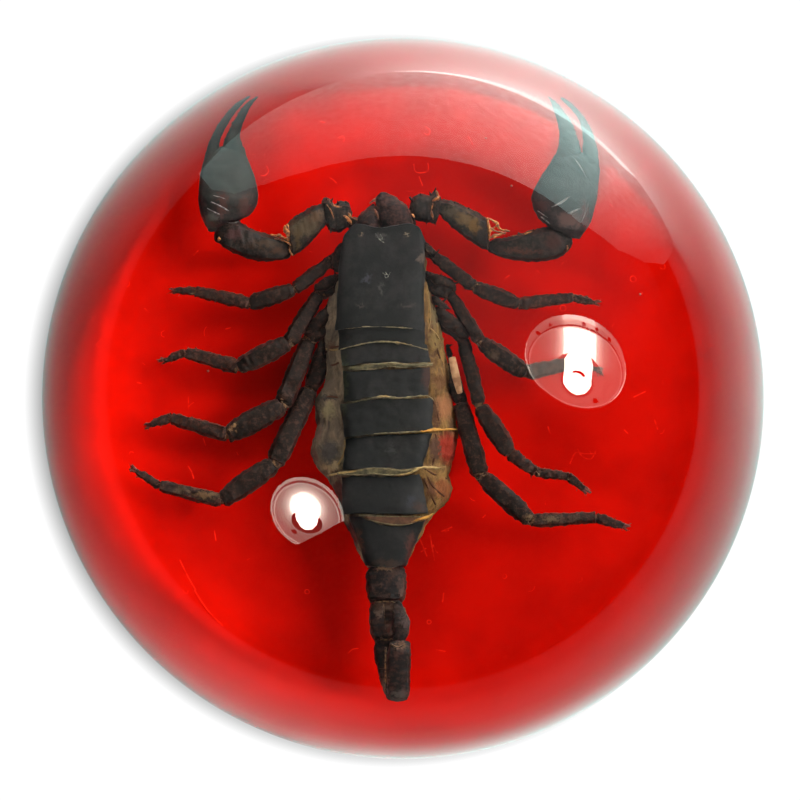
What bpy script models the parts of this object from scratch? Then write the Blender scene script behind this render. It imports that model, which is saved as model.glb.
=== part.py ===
"""A black scorpion set in a dome of clear cast resin, poured on a layer of red resin.

The origin is the centre of the flat underside, +Z is up and +Y is the way the
scorpion's head points.  The dome stands on its red layer.  The clear casting is
parted at the scorpion's mid height, so that the specimen lies in a pocket of its
own shape between the two halves.
"""

import math

import bmesh
import bpy
from mathutils import Matrix, Vector

MM = 0.001

# Dome: a flattened half ball, upright at its foot, and the pigmented layer under it.
DOME_DIAMETER = 89.0 * MM
DOME_HEIGHT = 39.2 * MM
RED_LAYER = 2.6 * MM
FOOT_BEVEL = 0.5 * MM
PARTING_HEIGHT = 6.4 * MM
FACE_GAP = 0.3 * MM
DOME_SIDES = 60
DOME_RINGS = 9

# The room left around the specimen, measured at the corners of its faceted limbs.
POCKET_ROOM = 0.42 * MM

# Cross-sections along the body are rows of: place along Y, middle in X, half width,
# underside height and top height, in mm. A row of TRUNK also says whether the head
# shield or a back plate ends there: each of them laps the next plate.
TRUNK = (
    (16.8, -1.8, 2.5, 5.4, 8.4, False),
    (15.4, -1.8, 3.4, 4.7, 9.1, False),
    (13.4, -1.95, 4.05, 4.4, 9.6, False),
    (10.5, -2.05, 4.2, 4.2, 9.9, False),
    (6.2, -2.2, 4.6, 4.1, 9.9, True),
    (4.6, -1.75, 5.5, 4.1, 9.8, True),
    (2.5, -1.65, 5.85, 4.0, 9.9, True),
    (-0.6, -1.95, 6.35, 4.0, 10.0, True),
    (-4.0, -1.7, 6.8, 4.0, 10.1, True),
    (-7.6, -1.75, 6.45, 4.1, 10.0, True),
    (-10.3, -1.35, 5.65, 4.2, 9.7, False),
    (-12.1, -1.6, 4.3, 4.4, 9.2, True),
    (-14.4, -1.6, 3.2, 4.7, 8.8, False),
    (-16.8, -1.6, 1.9, 5.0, 8.1, False),
)
LAP_LENGTH = 0.35
LAP_DROP = 0.25

# Tail: four rings run back, and the fifth with the sting bulb is folded over them.
TAIL_RUN = (
    (-16.2, -1.6, 1.5, 5.1, 7.7),
    (-17.4, -1.6, 1.95, 4.8, 8.0),
    (-19.4, -1.6, 1.9, 4.8, 8.0),
    (-20.3, -1.6, 1.5, 5.0, 7.6),
    (-21.3, -1.7, 1.9, 4.8, 7.8),
    (-23.6, -1.7, 1.8, 4.8, 7.8),
    (-24.4, -1.6, 1.3, 5.0, 7.2),
    (-25.4, -1.6, 1.5, 4.8, 7.2),
    (-27.4, -1.5, 1.4, 4.9, 7.2),
    (-30.2, -1.1, 1.2, 5.0, 7.2),
    (-31.0, -0.8, 0.7, 5.4, 6.9),
)
TAIL_FOLD = (
    (-31.2, -0.5, 0.7, 6.2, 8.4),
    (-30.4, -0.4, 1.15, 6.0, 8.9),
    (-25.2, -0.4, 1.15, 6.4, 9.3),
    (-24.3, -0.3, 0.8, 7.0, 8.9),
    (-22.9, -0.2, 1.1, 6.7, 9.5),
    (-21.6, -0.3, 0.8, 7.1, 9.2),
    (-20.2, -0.5, 0.3, 7.6, 8.4),
)
# The resin closes over the folded tail as one plain bulge.
TAIL_POCKET = (
    (-16.2, -1.6, 2.3, 4.6, 8.6),
    (-19.4, -1.5, 2.5, 4.4, 9.4),
    (-24.0, -1.4, 2.7, 4.4, 10.0),
    (-30.2, -1.0, 2.2, 4.6, 9.6),
    (-31.2, -0.7, 1.5, 5.0, 8.9),
)

# Legs, front to back: the hip in X and Y in mm, the length in mm and the heading in
# degrees of trochanter, femur, patella, tibia and the two foot segments, and the girth
# of the leg against the thickest one.
LEFT_LEGS = (
    ((-6.2, 12.8), ((1.8, 204), (3.2, 220), (4.8, 196), (2.5, 175), (2.7, 160), (2.7, 176)), 0.86),
    ((-6.3, 10.4), ((2.6, 211), (5.3, 242), (5.0, 203), (2.7, 162), (2.5, 159), (3.0, 202)), 0.88),
    ((-6.9, 6.8), ((2.6, 219), (6.8, 250), (6.1, 210), (3.0, 162), (3.1, 159), (2.7, 198)), 0.95),
    ((-7.4, 2.1), ((2.3, 235), (7.9, 245), (6.8, 213), (3.1, 167), (3.2, 159), (3.2, 149)), 1.0),
)
RIGHT_LEGS = (
    ((2.1, 13.3), ((1.4, 329), (4.2, 325), (4.6, 339), (2.7, 7), (2.3, 13), (2.7, 340)), 0.86),
    ((2.6, 10.2), ((2.3, 327), (5.0, 305), (5.5, 328), (2.0, 12), (2.0, 17), (3.2, 343)), 0.88),
    ((3.3, 6.4), ((2.6, 327), (6.3, 289), (5.2, 299), (3.3, 324), (2.9, 348), (2.6, 332)), 0.95),
    ((4.0, 0.7), ((1.9, 311), (7.3, 287), (6.5, 315), (3.4, 358), (3.7, 7), (3.2, 340)), 1.0),
)
LEG_JOINT_HEIGHTS = (6.4, 6.7, 7.6, 7.1, 6.4, 5.6, 5.0)
# Half widths in mm along a leg: segment, part of its length, half width.
LEG_SHAPE = (
    (0, -1.0, 0.85),
    (0, 1.0, 0.78),
    (1, 0.55, 1.08),
    (1, 1.0, 0.80),
    (2, 0.5, 1.12),
    (3, 0.0, 0.74),
    (3, 0.7, 0.68),
    (4, 0.9, 0.44),
    (5, 1.0, 0.28),
)
LEG_DEPTH_TO_WIDTH = 0.95

# Flats around each limb, and the edge length below which two corners are one.
TRUNK_SIDES = 12
HAND_SIDES = 10
ARM_SIDES = 8
LEG_SIDES = 6
SMALLEST_EDGE = 0.002 * MM

# Limbs are rows of: (X, Y, Z) of the middle, half width and half height, in mm.
LEFT_ARM = (
    ((-3.8, 15.4, 6.9), 1.2, 1.2),
    ((-5.3, 16.9, 6.9), 1.15, 1.2),
    ((-6.3, 17.2, 7.0), 1.55, 1.4),
    ((-7.5, 17.2, 7.0), 1.6, 1.45),
    ((-9.0, 15.9, 7.0), 1.5, 1.4),
    ((-10.5, 14.6, 7.0), 1.6, 1.3),
    ((-11.6, 14.1, 7.0), 1.15, 1.1),
    ((-13.4, 14.0, 7.0), 1.45, 1.5),
    ((-15.8, 15.0, 6.9), 1.65, 1.5),
    ((-17.9, 15.7, 6.7), 1.15, 1.1),
)
RIGHT_ARM = (
    ((0.0, 15.8, 6.9), 1.2, 1.2),
    ((1.4, 17.4, 6.9), 1.15, 1.2),
    ((2.4, 17.7, 7.0), 1.4, 1.4),
    ((3.6, 17.8, 7.0), 1.25, 1.4),
    ((5.6, 16.5, 7.0), 1.55, 1.45),
    ((7.8, 15.1, 7.0), 1.6, 1.3),
    ((8.9, 14.4, 7.0), 1.1, 1.1),
    ((10.8, 13.9, 7.0), 1.35, 1.5),
    ((13.6, 13.9, 6.9), 1.45, 1.5),
    ((15.9, 14.6, 6.7), 1.1, 1.1),
)
LEFT_HAND = (
    ((-18.0, 15.6, 6.6), 1.2, 0.9),
    ((-17.4, 17.2, 6.6), 2.5, 1.6),
    ((-17.0, 19.0, 6.6), 3.1, 2.0),
    ((-17.2, 21.0, 6.6), 3.0, 1.9),
    ((-17.4, 22.9, 6.6), 2.5, 1.6),
    ((-17.7, 24.5, 6.6), 1.8, 1.2),
)
LEFT_FINGERS = (
    (
        ((-18.7, 22.6, 6.6), 1.1, 0.9),
        ((-18.9, 24.9, 6.6), 0.75, 0.8),
        ((-18.6, 26.5, 6.6), 0.6, 0.7),
        ((-18.2, 28.1, 6.5), 0.5, 0.6),
        ((-17.4, 29.7, 6.4), 0.4, 0.45),
        ((-16.4, 31.1, 6.4), 0.2, 0.25),
    ),
    (
        ((-16.9, 22.6, 6.6), 1.2, 1.0),
        ((-16.8, 24.6, 6.6), 1.1, 1.0),
        ((-16.7, 26.1, 6.6), 0.8, 0.8),
        ((-16.5, 27.7, 6.5), 0.7, 0.7),
        ((-16.1, 29.1, 6.4), 0.55, 0.5),
        ((-15.1, 30.6, 6.4), 0.22, 0.25),
    ),
)
RIGHT_HAND = (
    ((15.8, 14.6, 6.6), 1.3, 0.9),
    ((15.5, 16.4, 6.6), 2.6, 1.6),
    ((15.6, 18.5, 6.6), 3.2, 2.0),
    ((15.9, 20.6, 6.6), 3.15, 1.9),
    ((16.6, 22.5, 6.6), 2.7, 1.6),
    ((17.1, 24.1, 6.6), 2.0, 1.2),
)
RIGHT_FINGERS = (
    (
        ((18.2, 22.3, 6.6), 1.1, 0.9),
        ((18.5, 24.3, 6.6), 0.85, 0.85),
        ((18.4, 26.1, 6.6), 0.7, 0.7),
        ((18.1, 27.9, 6.5), 0.6, 0.6),
        ((17.6, 29.5, 6.4), 0.5, 0.45),
        ((16.9, 30.9, 6.4), 0.2, 0.25),
    ),
    (
        ((16.2, 22.4, 6.6), 1.25, 1.0),
        ((16.3, 24.3, 6.6), 1.15, 1.0),
        ((16.3, 26.0, 6.6), 0.85, 0.8),
        ((16.2, 27.9, 6.5), 0.6, 0.7),
        ((15.7, 29.6, 6.4), 0.45, 0.5),
        ((15.2, 30.6, 6.4), 0.2, 0.25),
    ),
)
JAWS = (
    (
        ((-3.4, 14.6, 7.2), 1.2, 1.1),
        ((-3.4, 17.0, 7.3), 1.15, 1.1),
        ((-3.0, 18.2, 7.0), 0.5, 0.6),
    ),
    (
        ((-0.8, 14.6, 7.2), 1.3, 1.1),
        ((-0.9, 17.4, 7.3), 1.4, 1.1),
        ((-1.4, 19.2, 7.0), 0.6, 0.6),
    ),
)


def clear_scene():
    for thing in list(bpy.data.objects):
        bpy.data.objects.remove(thing, do_unlink=True)


def plain_material(name, colour, roughness, transmission=0.0, ior=1.5):
    mat = bpy.data.materials.new(name)
    mat.use_nodes = True
    shader = mat.node_tree.nodes["Principled BSDF"]
    shader.inputs["Base Color"].default_value = (*colour, 1.0)
    shader.inputs["Roughness"].default_value = roughness
    shader.inputs["Metallic"].default_value = 0.0
    shader.inputs["Transmission Weight"].default_value = transmission
    shader.inputs["IOR"].default_value = ior
    return mat


def add_object(name, mesh):
    thing = bpy.data.objects.new(name, mesh)
    bpy.context.scene.collection.objects.link(thing)
    return thing


def finish_object(name, mesh, mat, sharp_angle):
    """The finished node: one material, round faces smooth and edges past the angle sharp."""
    mesh.materials.clear()
    mesh.materials.append(mat)
    mesh.shade_smooth()
    mesh.set_sharp_from_angle(angle=math.radians(sharp_angle))
    return add_object(name, mesh)


def loft(name, sections, sides):
    """A closed solid through rings, each a unit circle placed and sized by its matrix."""
    bm = bmesh.new()
    rings = []
    for section in sections:
        circle = bmesh.ops.create_circle(bm, segments=sides, radius=1.0, matrix=section)
        rings.append(circle["verts"])
    for first, second in zip(rings, rings[1:]):
        for i in range(sides):
            j = (i + 1) % sides
            bm.faces.new((first[i], first[j], second[j], second[i]))
    bm.faces.new(rings[0])
    bm.faces.new(rings[-1])
    bmesh.ops.remove_doubles(bm, verts=bm.verts, dist=SMALLEST_EDGE)
    bmesh.ops.recalc_face_normals(bm, faces=bm.faces)
    mesh = bpy.data.meshes.new(name)
    bm.to_mesh(mesh)
    bm.free()
    return add_object(name, mesh)


def modified_mesh(thing, name):
    """The object's mesh with its Boolean applied, in triangles and without slivers."""
    graph = bpy.context.evaluated_depsgraph_get()
    mesh = bpy.data.meshes.new_from_object(thing.evaluated_get(graph))
    mesh.name = name
    bm = bmesh.new()
    bm.from_mesh(mesh)
    bmesh.ops.triangulate(bm, faces=bm.faces)
    bmesh.ops.remove_doubles(bm, verts=bm.verts, dist=SMALLEST_EDGE)
    bmesh.ops.dissolve_degenerate(bm, edges=bm.edges, dist=SMALLEST_EDGE)
    bm.to_mesh(mesh)
    bm.free()
    return mesh


def fused(name, solids):
    """The mesh of the union of overlapping closed solids, which are used up."""
    others = bpy.data.collections.new(name + "_limbs")
    for solid in solids[1:]:
        others.objects.link(solid)
    union = solids[0].modifiers.new("Union", "BOOLEAN")
    union.operation = "UNION"
    union.operand_type = "COLLECTION"
    union.collection = others
    union.solver = "EXACT"
    mesh = modified_mesh(solids[0], name)
    for solid in solids:
        bpy.data.objects.remove(solid, do_unlink=True)
    bpy.data.collections.remove(others)
    return mesh


def hollowed(name, blank, tool):
    """The mesh of the blank less the tool; the blank is used up."""
    pocket = blank.modifiers.new("Pocket", "BOOLEAN")
    pocket.operation = "DIFFERENCE"
    pocket.object = tool
    pocket.solver = "EXACT"
    mesh = modified_mesh(blank, name)
    bpy.data.objects.remove(blank, do_unlink=True)
    return mesh


def sections_along_y(rows, room):
    """Upright rings from rows of (y, x, half width, low, high), grown by the room."""
    run = 1 if rows[-1][0] > rows[0][0] else -1
    outward = [0] * len(rows)
    outward[0] = -run
    outward[-1] = run
    upright = Matrix.Rotation(math.radians(90), 4, "X")
    sections = []
    for (y, x, half_width, low, high), way in zip(rows, outward):
        place = Vector((x, y, (low + high) / 2)) * MM
        place.y += way * room
        size = Matrix.Diagonal((half_width * MM + room, (high - low) / 2 * MM + room, 1, 1))
        sections.append(Matrix.Translation(place) @ upright @ size)
    return sections


def sections_along_path(stations, room):
    """Rings square to a path of ((x, y, z), half width, half height), grown by the room."""
    points = [Vector(place) * MM for place, _, _ in stations]
    outward = [0] * len(points)
    outward[0] = -1
    outward[-1] = 1
    sections = []
    for number, (_, half_width, half_height) in enumerate(stations):
        before = points[max(number - 1, 0)]
        after = points[min(number + 1, len(points) - 1)]
        along = (after - before).normalized()
        across = along.cross(Vector((0, 0, 1))).normalized()
        turn = Matrix((across, across.cross(along), along)).transposed().to_4x4()
        place = points[number] + along * outward[number] * room
        size = Matrix.Diagonal((half_width * MM + room, half_height * MM + room, 1, 1))
        sections.append(Matrix.Translation(place) @ turn @ size)
    return sections


def trunk_rows(lapped):
    """The rows of TRUNK, each lapped plate with the lower front edge of the next behind it."""
    rows = []
    for y, x, half_width, low, high, laps in TRUNK:
        rows.append((y, x, half_width, low, high))
        if laps and lapped:
            rows.append((y - LAP_LENGTH, x, half_width, low, high - LAP_DROP))
    return rows


def leg_stations(hip, segments, girth):
    """A leg's joints from its segment lengths and headings, and its girth along them."""
    joints = [Vector((*hip, LEG_JOINT_HEIGHTS[0]))]
    for (length, heading), height in zip(segments, LEG_JOINT_HEIGHTS[1:]):
        angle = math.radians(heading)
        joint = joints[-1] + length * Vector((math.cos(angle), math.sin(angle), 0))
        joint.z = height
        joints.append(joint)
    stations = []
    for segment, part, half_width in LEG_SHAPE:
        place = joints[segment].lerp(joints[segment + 1], part)
        width = half_width * girth
        stations.append((place, width, width * LEG_DEPTH_TO_WIDTH))
    return stations


def scorpion_mesh(name, room):
    """The whole animal as one solid. A room grows it evenly, into the shape of its pocket."""
    tails = (TAIL_POCKET,) if room else (TAIL_RUN, TAIL_FOLD)
    limbs = [(sections_along_y(trunk_rows(lapped=not room), room), TRUNK_SIDES)]
    for rows in tails:
        limbs.append((sections_along_y(rows, room), ARM_SIDES))
    for stations in (LEFT_HAND, RIGHT_HAND):
        limbs.append((sections_along_path(stations, room), HAND_SIDES))
    for stations in (LEFT_ARM, RIGHT_ARM) + JAWS:
        limbs.append((sections_along_path(stations, room), ARM_SIDES))
    for stations in LEFT_FINGERS + RIGHT_FINGERS:
        limbs.append((sections_along_path(stations, room), LEG_SIDES))
    for hip, segments, girth in LEFT_LEGS + RIGHT_LEGS:
        limbs.append((sections_along_path(leg_stations(hip, segments, girth), room), LEG_SIDES))
    return fused(name, [loft(name, sections, sides) for sections, sides in limbs])


def dome_radius(height):
    """The dome's half width at a height: half an ellipse that stands upright at its foot."""
    part = min(height / DOME_HEIGHT, 1.0)
    return DOME_DIAMETER / 2 * math.sqrt(1.0 - part * part)


def dome_slice(name, rings):
    """A slice of the dome through rings of (height, radius)."""
    sections = []
    for height, radius in rings:
        size = Matrix.Diagonal((radius, radius, 1, 1))
        sections.append(Matrix.Translation((0, 0, height)) @ size)
    return loft(name, sections, DOME_SIDES)


def red_base():
    """The pigmented layer that was poured last, with a small bevel where it was trimmed."""
    edge = dome_radius(FOOT_BEVEL)
    blank = dome_slice("base_blank", (
        (0.0, edge - FOOT_BEVEL),
        (FOOT_BEVEL, edge),
        (RED_LAYER, dome_radius(RED_LAYER)),
    ))
    mesh = modified_mesh(blank, "red_base")
    bpy.data.objects.remove(blank, do_unlink=True)
    red = plain_material("red_resin", (0.50, 0.006, 0.002), 0.25)
    finish_object("red_base", mesh, red, 30)


def scorpion():
    shell = plain_material("black_shell", (0.028, 0.024, 0.021), 0.5)
    finish_object("scorpion", scorpion_mesh("scorpion", 0.0), shell, 50)


def clear_casting():
    """The clear dome in two halves that meet at the scorpion's mid height."""
    clear = plain_material("clear_resin", (0.95, 0.96, 0.95), 0.03, transmission=1.0, ior=1.54)
    tool = add_object("pocket_tool", scorpion_mesh("pocket_tool", POCKET_ROOM))

    foot = RED_LAYER + FACE_GAP
    lower_top = PARTING_HEIGHT - FACE_GAP / 2
    blank = dome_slice("lower_blank", (
        (foot, dome_radius(foot)),
        (lower_top, dome_radius(lower_top)),
    ))
    lower = hollowed("clear_resin_lower", blank, tool)
    finish_object("clear_resin_lower", lower, clear, 30)

    upper_foot = PARTING_HEIGHT + FACE_GAP / 2
    first_angle = math.asin(upper_foot / DOME_HEIGHT)
    rings = []
    for i in range(DOME_RINGS + 1):
        angle = first_angle + (math.pi / 2 - first_angle) * i / DOME_RINGS
        height = DOME_HEIGHT * math.sin(angle)
        rings.append((height, dome_radius(height)))
    blank = dome_slice("upper_blank", rings)
    upper = hollowed("clear_resin_upper", blank, tool)
    finish_object("clear_resin_upper", upper, clear, 30)

    bpy.data.objects.remove(tool, do_unlink=True)


clear_scene()
red_base()
scorpion()
clear_casting()
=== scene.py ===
"""The looks of a black scorpion cast in a dome of clear resin on a red resin layer."""

import math
import random

import bmesh
import bpy
from mathutils import Matrix, Vector, noise


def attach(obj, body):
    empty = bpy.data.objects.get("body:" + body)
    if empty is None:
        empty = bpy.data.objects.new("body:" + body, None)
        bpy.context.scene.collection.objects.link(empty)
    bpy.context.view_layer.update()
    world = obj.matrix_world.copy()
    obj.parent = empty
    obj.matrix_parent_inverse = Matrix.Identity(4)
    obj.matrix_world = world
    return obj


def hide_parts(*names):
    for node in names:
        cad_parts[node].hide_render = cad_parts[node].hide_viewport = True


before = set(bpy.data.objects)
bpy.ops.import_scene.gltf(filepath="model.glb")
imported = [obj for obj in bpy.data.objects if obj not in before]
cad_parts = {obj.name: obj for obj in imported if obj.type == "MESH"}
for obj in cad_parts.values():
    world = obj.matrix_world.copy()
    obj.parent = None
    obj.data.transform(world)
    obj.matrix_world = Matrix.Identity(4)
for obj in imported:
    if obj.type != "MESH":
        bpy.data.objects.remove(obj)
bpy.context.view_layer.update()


# --- Red layer ------------------------------------------------------------------------
# The last pour of the casting: polyester resin made opaque with red pigment paste.
# Its top is bonded to the clear resin, so only its side and underside shine.

MM = 0.001
DOME_RADIUS = 44.5
DOME_HEIGHT = 39.2
RED_TOP = 2.6
FOOT_BEVEL = 0.5
ROUND_SEGMENTS = 288
ROUND_RINGS = 180
RED_BONDED = "#c60c03"
RED_DEEP = "#a80702"
# The lighter red that the layer is painted up to at its rim: painted light, not its pigment.
RED_RIM_PAINTED_LIGHT = "#d8160a"
RED_OUTSIDE = "#c01208"
PIGMENT_CLOUD = 7.0
RESIN_IOR = 1.52
# Distances from the middle over which the layer is painted lighter up to its rim colour: painted light.
PAINTED_RIM_LIGHT_FROM = 28.0
PAINTED_RIM_LIGHT_FULL = 38.5


def linear(colour):
    """An sRGB hex colour as linear RGBA."""
    parts = [int(colour[i:i + 2], 16) / 255 for i in (1, 3, 5)]
    return tuple(c / 12.92 if c <= 0.04045 else ((c + 0.055) / 1.055) ** 2.4 for c in parts) + (1.0,)


def new_material(name, **sockets):
    """A Principled material with values set on the shader's own sockets."""
    mat = bpy.data.materials.new(name)
    mat.use_nodes = True
    shader = mat.node_tree.nodes["Principled BSDF"]
    for socket, value in sockets.items():
        shader.inputs[socket.replace("_", " ")].default_value = value
    return mat


def node(mat, kind, links=(), stops=(), **settings):
    """Adds a node: settings are its own values, links are values or outputs by socket, and
    stops are the places and colours (or levels) of a ramp."""
    made = mat.node_tree.nodes.new("ShaderNode" + kind)
    for name, value in settings.items():
        setattr(made, name, value)
    for socket, value in dict(links).items():
        if isinstance(value, bpy.types.NodeSocket):
            mat.node_tree.links.new(value, made.inputs[socket])
        else:
            made.inputs[socket].default_value = value
    for number, (place, colour) in enumerate(stops):
        ramp = made.color_ramp.elements
        element = ramp[number] if number < 2 else ramp.new(place)
        element.position = place
        element.color = linear(colour) if isinstance(colour, str) else (colour,) * 3 + (1.0,)
    return made


def feed(mat, socket, output):
    """Links an output to one of the Principled shader's sockets."""
    mat.node_tree.links.new(output, mat.node_tree.nodes["Principled BSDF"].inputs[socket])


def mottled(name, grain, stops, detail=4.0, contrast=0.5, **sockets):
    """A material coloured through stops by noise of a grain in mm. Contrast is the share of its
    strength that each finer level of the noise keeps."""
    mat = new_material(name, **sockets)
    place = node(mat, "TexCoord").outputs["Object"]
    patch = node(mat, "TexNoise", {"Vector": place, "Scale": 1 / (grain * MM), "Detail": detail,
                                   "Roughness": contrast})
    tint = node(mat, "ValToRGB", {0: patch.outputs[0]}, stops=stops)
    feed(mat, "Base Color", tint.outputs[0])
    return mat


def make_piece(name, bm, mats, cad_nodes, sharp=40):
    """The object from a bmesh in millimetres, riding on the body and standing for its node."""
    bmesh.ops.scale(bm, vec=(MM, MM, MM), verts=bm.verts)
    mesh = bpy.data.meshes.new(name)
    bm.to_mesh(mesh)
    bm.free()
    for mat in mats:
        mesh.materials.append(mat)
    mesh.shade_smooth()
    mesh.set_sharp_from_angle(angle=math.radians(sharp))
    made = bpy.data.objects.new(name, mesh)
    bpy.context.scene.collection.objects.link(made)
    if cad_nodes:
        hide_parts(*cad_nodes)
        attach(made, "root")
    return made


def flattened_ball():
    """The whole ellipsoid that the dome is half of."""
    bm = bmesh.new()
    size = Matrix.Diagonal((DOME_RADIUS, DOME_RADIUS, DOME_HEIGHT, 1))
    bmesh.ops.create_uvsphere(bm, u_segments=ROUND_SEGMENTS, v_segments=ROUND_RINGS,
                              radius=1.0, matrix=size)
    return bm


def cut_level(bm, height, above):
    """Keeps what is above or below a level and closes the cut with one face."""
    everything = bm.verts[:] + bm.edges[:] + bm.faces[:]
    bmesh.ops.bisect_plane(bm, geom=everything, dist=1e-5, plane_co=(0, 0, height),
                           plane_no=(0, 0, 1), clear_inner=above, clear_outer=not above)
    rim = [edge for edge in bm.edges if edge.is_boundary]
    bmesh.ops.contextual_create(bm, geom=rim)
    bmesh.ops.recalc_face_normals(bm, faces=bm.faces)


def bevel_level(bm, height, width):
    """Bevels the round edge at a level."""
    rim = [e for e in bm.edges if all(abs(v.co.z - height) < 1e-3 for v in e.verts)]
    bmesh.ops.bevel(bm, geom=rim, offset=width, segments=4, profile=0.5, affect="EDGES", material=-1)


# Pigmented polyester poured on the cured casting: wetted by it, so matt, with faint clouds, and painted
# light towards its rim.
red_bonded = new_material("red_pigmented_resin_bonded", Roughness=0.9, Specular_IOR_Level=0.0)
place = node(red_bonded, "TexCoord").outputs["Object"]
cloud = node(red_bonded, "TexNoise", {"Vector": place, "Scale": 1 / (PIGMENT_CLOUD * MM), "Detail": 3.0})
tint = node(red_bonded, "ValToRGB", {0: cloud.outputs[0]}, stops=((0.25, RED_DEEP), (0.65, RED_BONDED)))
# Painted light: the colour is lightened by distance from the middle towards the rim.
outward = node(red_bonded, "VectorMath", {0: place}, operation="LENGTH").outputs["Value"]
outward = node(red_bonded, "MapRange", {0: outward, 1: PAINTED_RIM_LIGHT_FROM * MM, 2: PAINTED_RIM_LIGHT_FULL * MM})
tint = node(red_bonded, "Mix", {0: outward.outputs[0], 6: tint.outputs[0], 7: linear(RED_RIM_PAINTED_LIGHT)},
            data_type="RGBA")
feed(red_bonded, "Base Color", tint.outputs[2])
# The same resin ground and polished on the outside: glossy.
red_polished = mottled("red_pigmented_resin_polished", PIGMENT_CLOUD, ((0.3, RED_DEEP), (0.7, RED_OUTSIDE)),
                       detail=2.0, Roughness=0.12, IOR=RESIN_IOR)

bm = flattened_ball()
cut_level(bm, RED_TOP, above=False)
cut_level(bm, 0.0, above=True)
bevel_level(bm, 0.0, FOOT_BEVEL)
for face in bm.faces:
    face.material_index = 0 if face.calc_center_median().z > RED_TOP - 0.001 else 1
make_piece("red_resin_layer", bm, (red_bonded, red_polished), ["red_base"], sharp=30)


# --- Marks in the red layer -----------------------------------------------------------
# Hair-like scrapes, curls and tiny rings on the bonded face, where the clear casting was
# sanded before the red was poured. Their brighter red is a painted glint of the light they catch.

# The brighter red of the marks: a painted glint.
MARK_GLINT_COLOUR = "#e8200f"
MARK_WIDTH = 0.075
MARK_HEIGHT = 0.03
FINE_MARKS = 120
FINE_STEP = 0.3
MARKED_RADIUS = 39.0
SPECK_RADIUS = 0.11
# The larger scrapes, as points (x, y).
SCRAPES = (
    ((1.0, 21.4), (1.1, 20.8), (1.6, 20.6), (2.3, 20.8), (2.3, 21.5)),
    ((2.1, 25.2), (2.5, 24.9), (2.4, 24.4), (2.0, 24.5)), ((1.5, 20.2), (1.8, 19.4)),
    ((6.1, 24.3), (6.3, 23.9), (6.5, 23.5)), ((-12.8, 21.5), (-12.6, 21.0), (-12.9, 20.6), (-13.3, 20.6)),
    ((-6.8, 20.2), (-6.5, 20.0), (-6.2, 19.7)), ((-6.0, 24.1), (-5.7, 24.3), (-5.5, 24.0), (-5.6, 23.7)),
    ((-7.8, 25.9), (-7.4, 25.8)), ((-19.6, 13.1), (-19.2, 13.5)), ((-24.4, 8.2), (-24.0, 7.8)),
    ((-16.4, 6.1), (-16.0, 6.2)), ((-25.1, 1.2), (-24.7, 1.1)), ((-20.0, -0.2), (-20.0, -1.3)),
    ((-18.6, -4.1), (-18.4, -4.7)), ((-20.1, -6.7), (-19.8, -7.2), (-19.6, -7.8)),
    ((-17.7, -12.8), (-17.6, -13.7)), ((-21.3, -15.8), (-20.6, -17.4), (-19.9, -18.7)),
    ((-20.0, -18.8), (-18.8, -20.8), (-17.5, -22.2)), ((-5.2, -24.6), (-4.8, -24.2), (-4.3, -24.1)),
    ((3.2, -24.2), (4.0, -24.4)), ((3.8, -18.6), (3.7, -19.4)), ((3.6, -12.7), (4.5, -12.3)),
    ((2.8, -14.0), (3.0, -14.5), (3.2, -14.7)), ((1.7, -14.6), (2.1, -14.3)), ((1.4, -13.0), (2.2, -15.0)),
    ((2.5, -13.0), (2.9, -15.4)), ((15.5, -6.4), (16.0, -5.4), (16.8, -5.5), (17.9, -5.5)),
    ((16.2, -5.1), (16.7, -5.8), (17.5, -6.0), (17.9, -5.3)), ((20.7, -3.3), (21.0, -3.6)),
    ((13.4, -3.0), (13.6, -3.6)), ((23.7, -2.4), (24.0, -3.2)), ((9.2, 10.6), (9.8, 11.0)),
    ((21.6, -0.2), (22.7, 0.3)), ((3.9, -12.7), (4.2, -12.6)), ((12.4, 11.5), (12.7, 11.1)),
    ((22.2, 9.4), (22.5, 9.6)), ((7.4, -11.4), (7.6, -11.2)),
)
# Tiny rings, as (x, y, radius), and pale specks of dust sunk on to the layer.
RINGS = ((14.8, 8.0, 0.28), (2.45, -21.4, 0.2), (21.6, 10.9, 0.3), (-9.0, -18.5, 0.22), (9.5, -17.0, 0.2))
SPECKS = ((7.8, 24.2), (10.1, 19.5), (-18.1, 2.2), (22.3, 9.5))


# How far a keel stands out from its ring, and the parts of its length at which a round nose
# has its rings.
KEEL_RISE = 1.09
NOSE_RINGS = (0.5, 0.85, 0.99)
UP = Vector((0, 0, 1))


def resample(rows, steps):
    """Rows of numbers with smooth in-between rows, by Catmull-Rom through every row."""
    smooth = []
    for i in range(len(rows) - 1):
        a, b, c, d = (rows[min(max(k, 0), len(rows) - 1)] for k in (i - 1, i, i + 1, i + 2))
        for step in range(steps):
            t = step / steps
            smooth.append([0.5 * (2 * q + (r - p) * t + (2 * p - 5 * q + 4 * r - s) * t * t
                                  + (3 * q - p - 3 * r + s) * t ** 3)
                           for p, q, r, s in zip(a, b, c, d)])
    smooth.append(list(rows[-1]))
    return smooth


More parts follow.
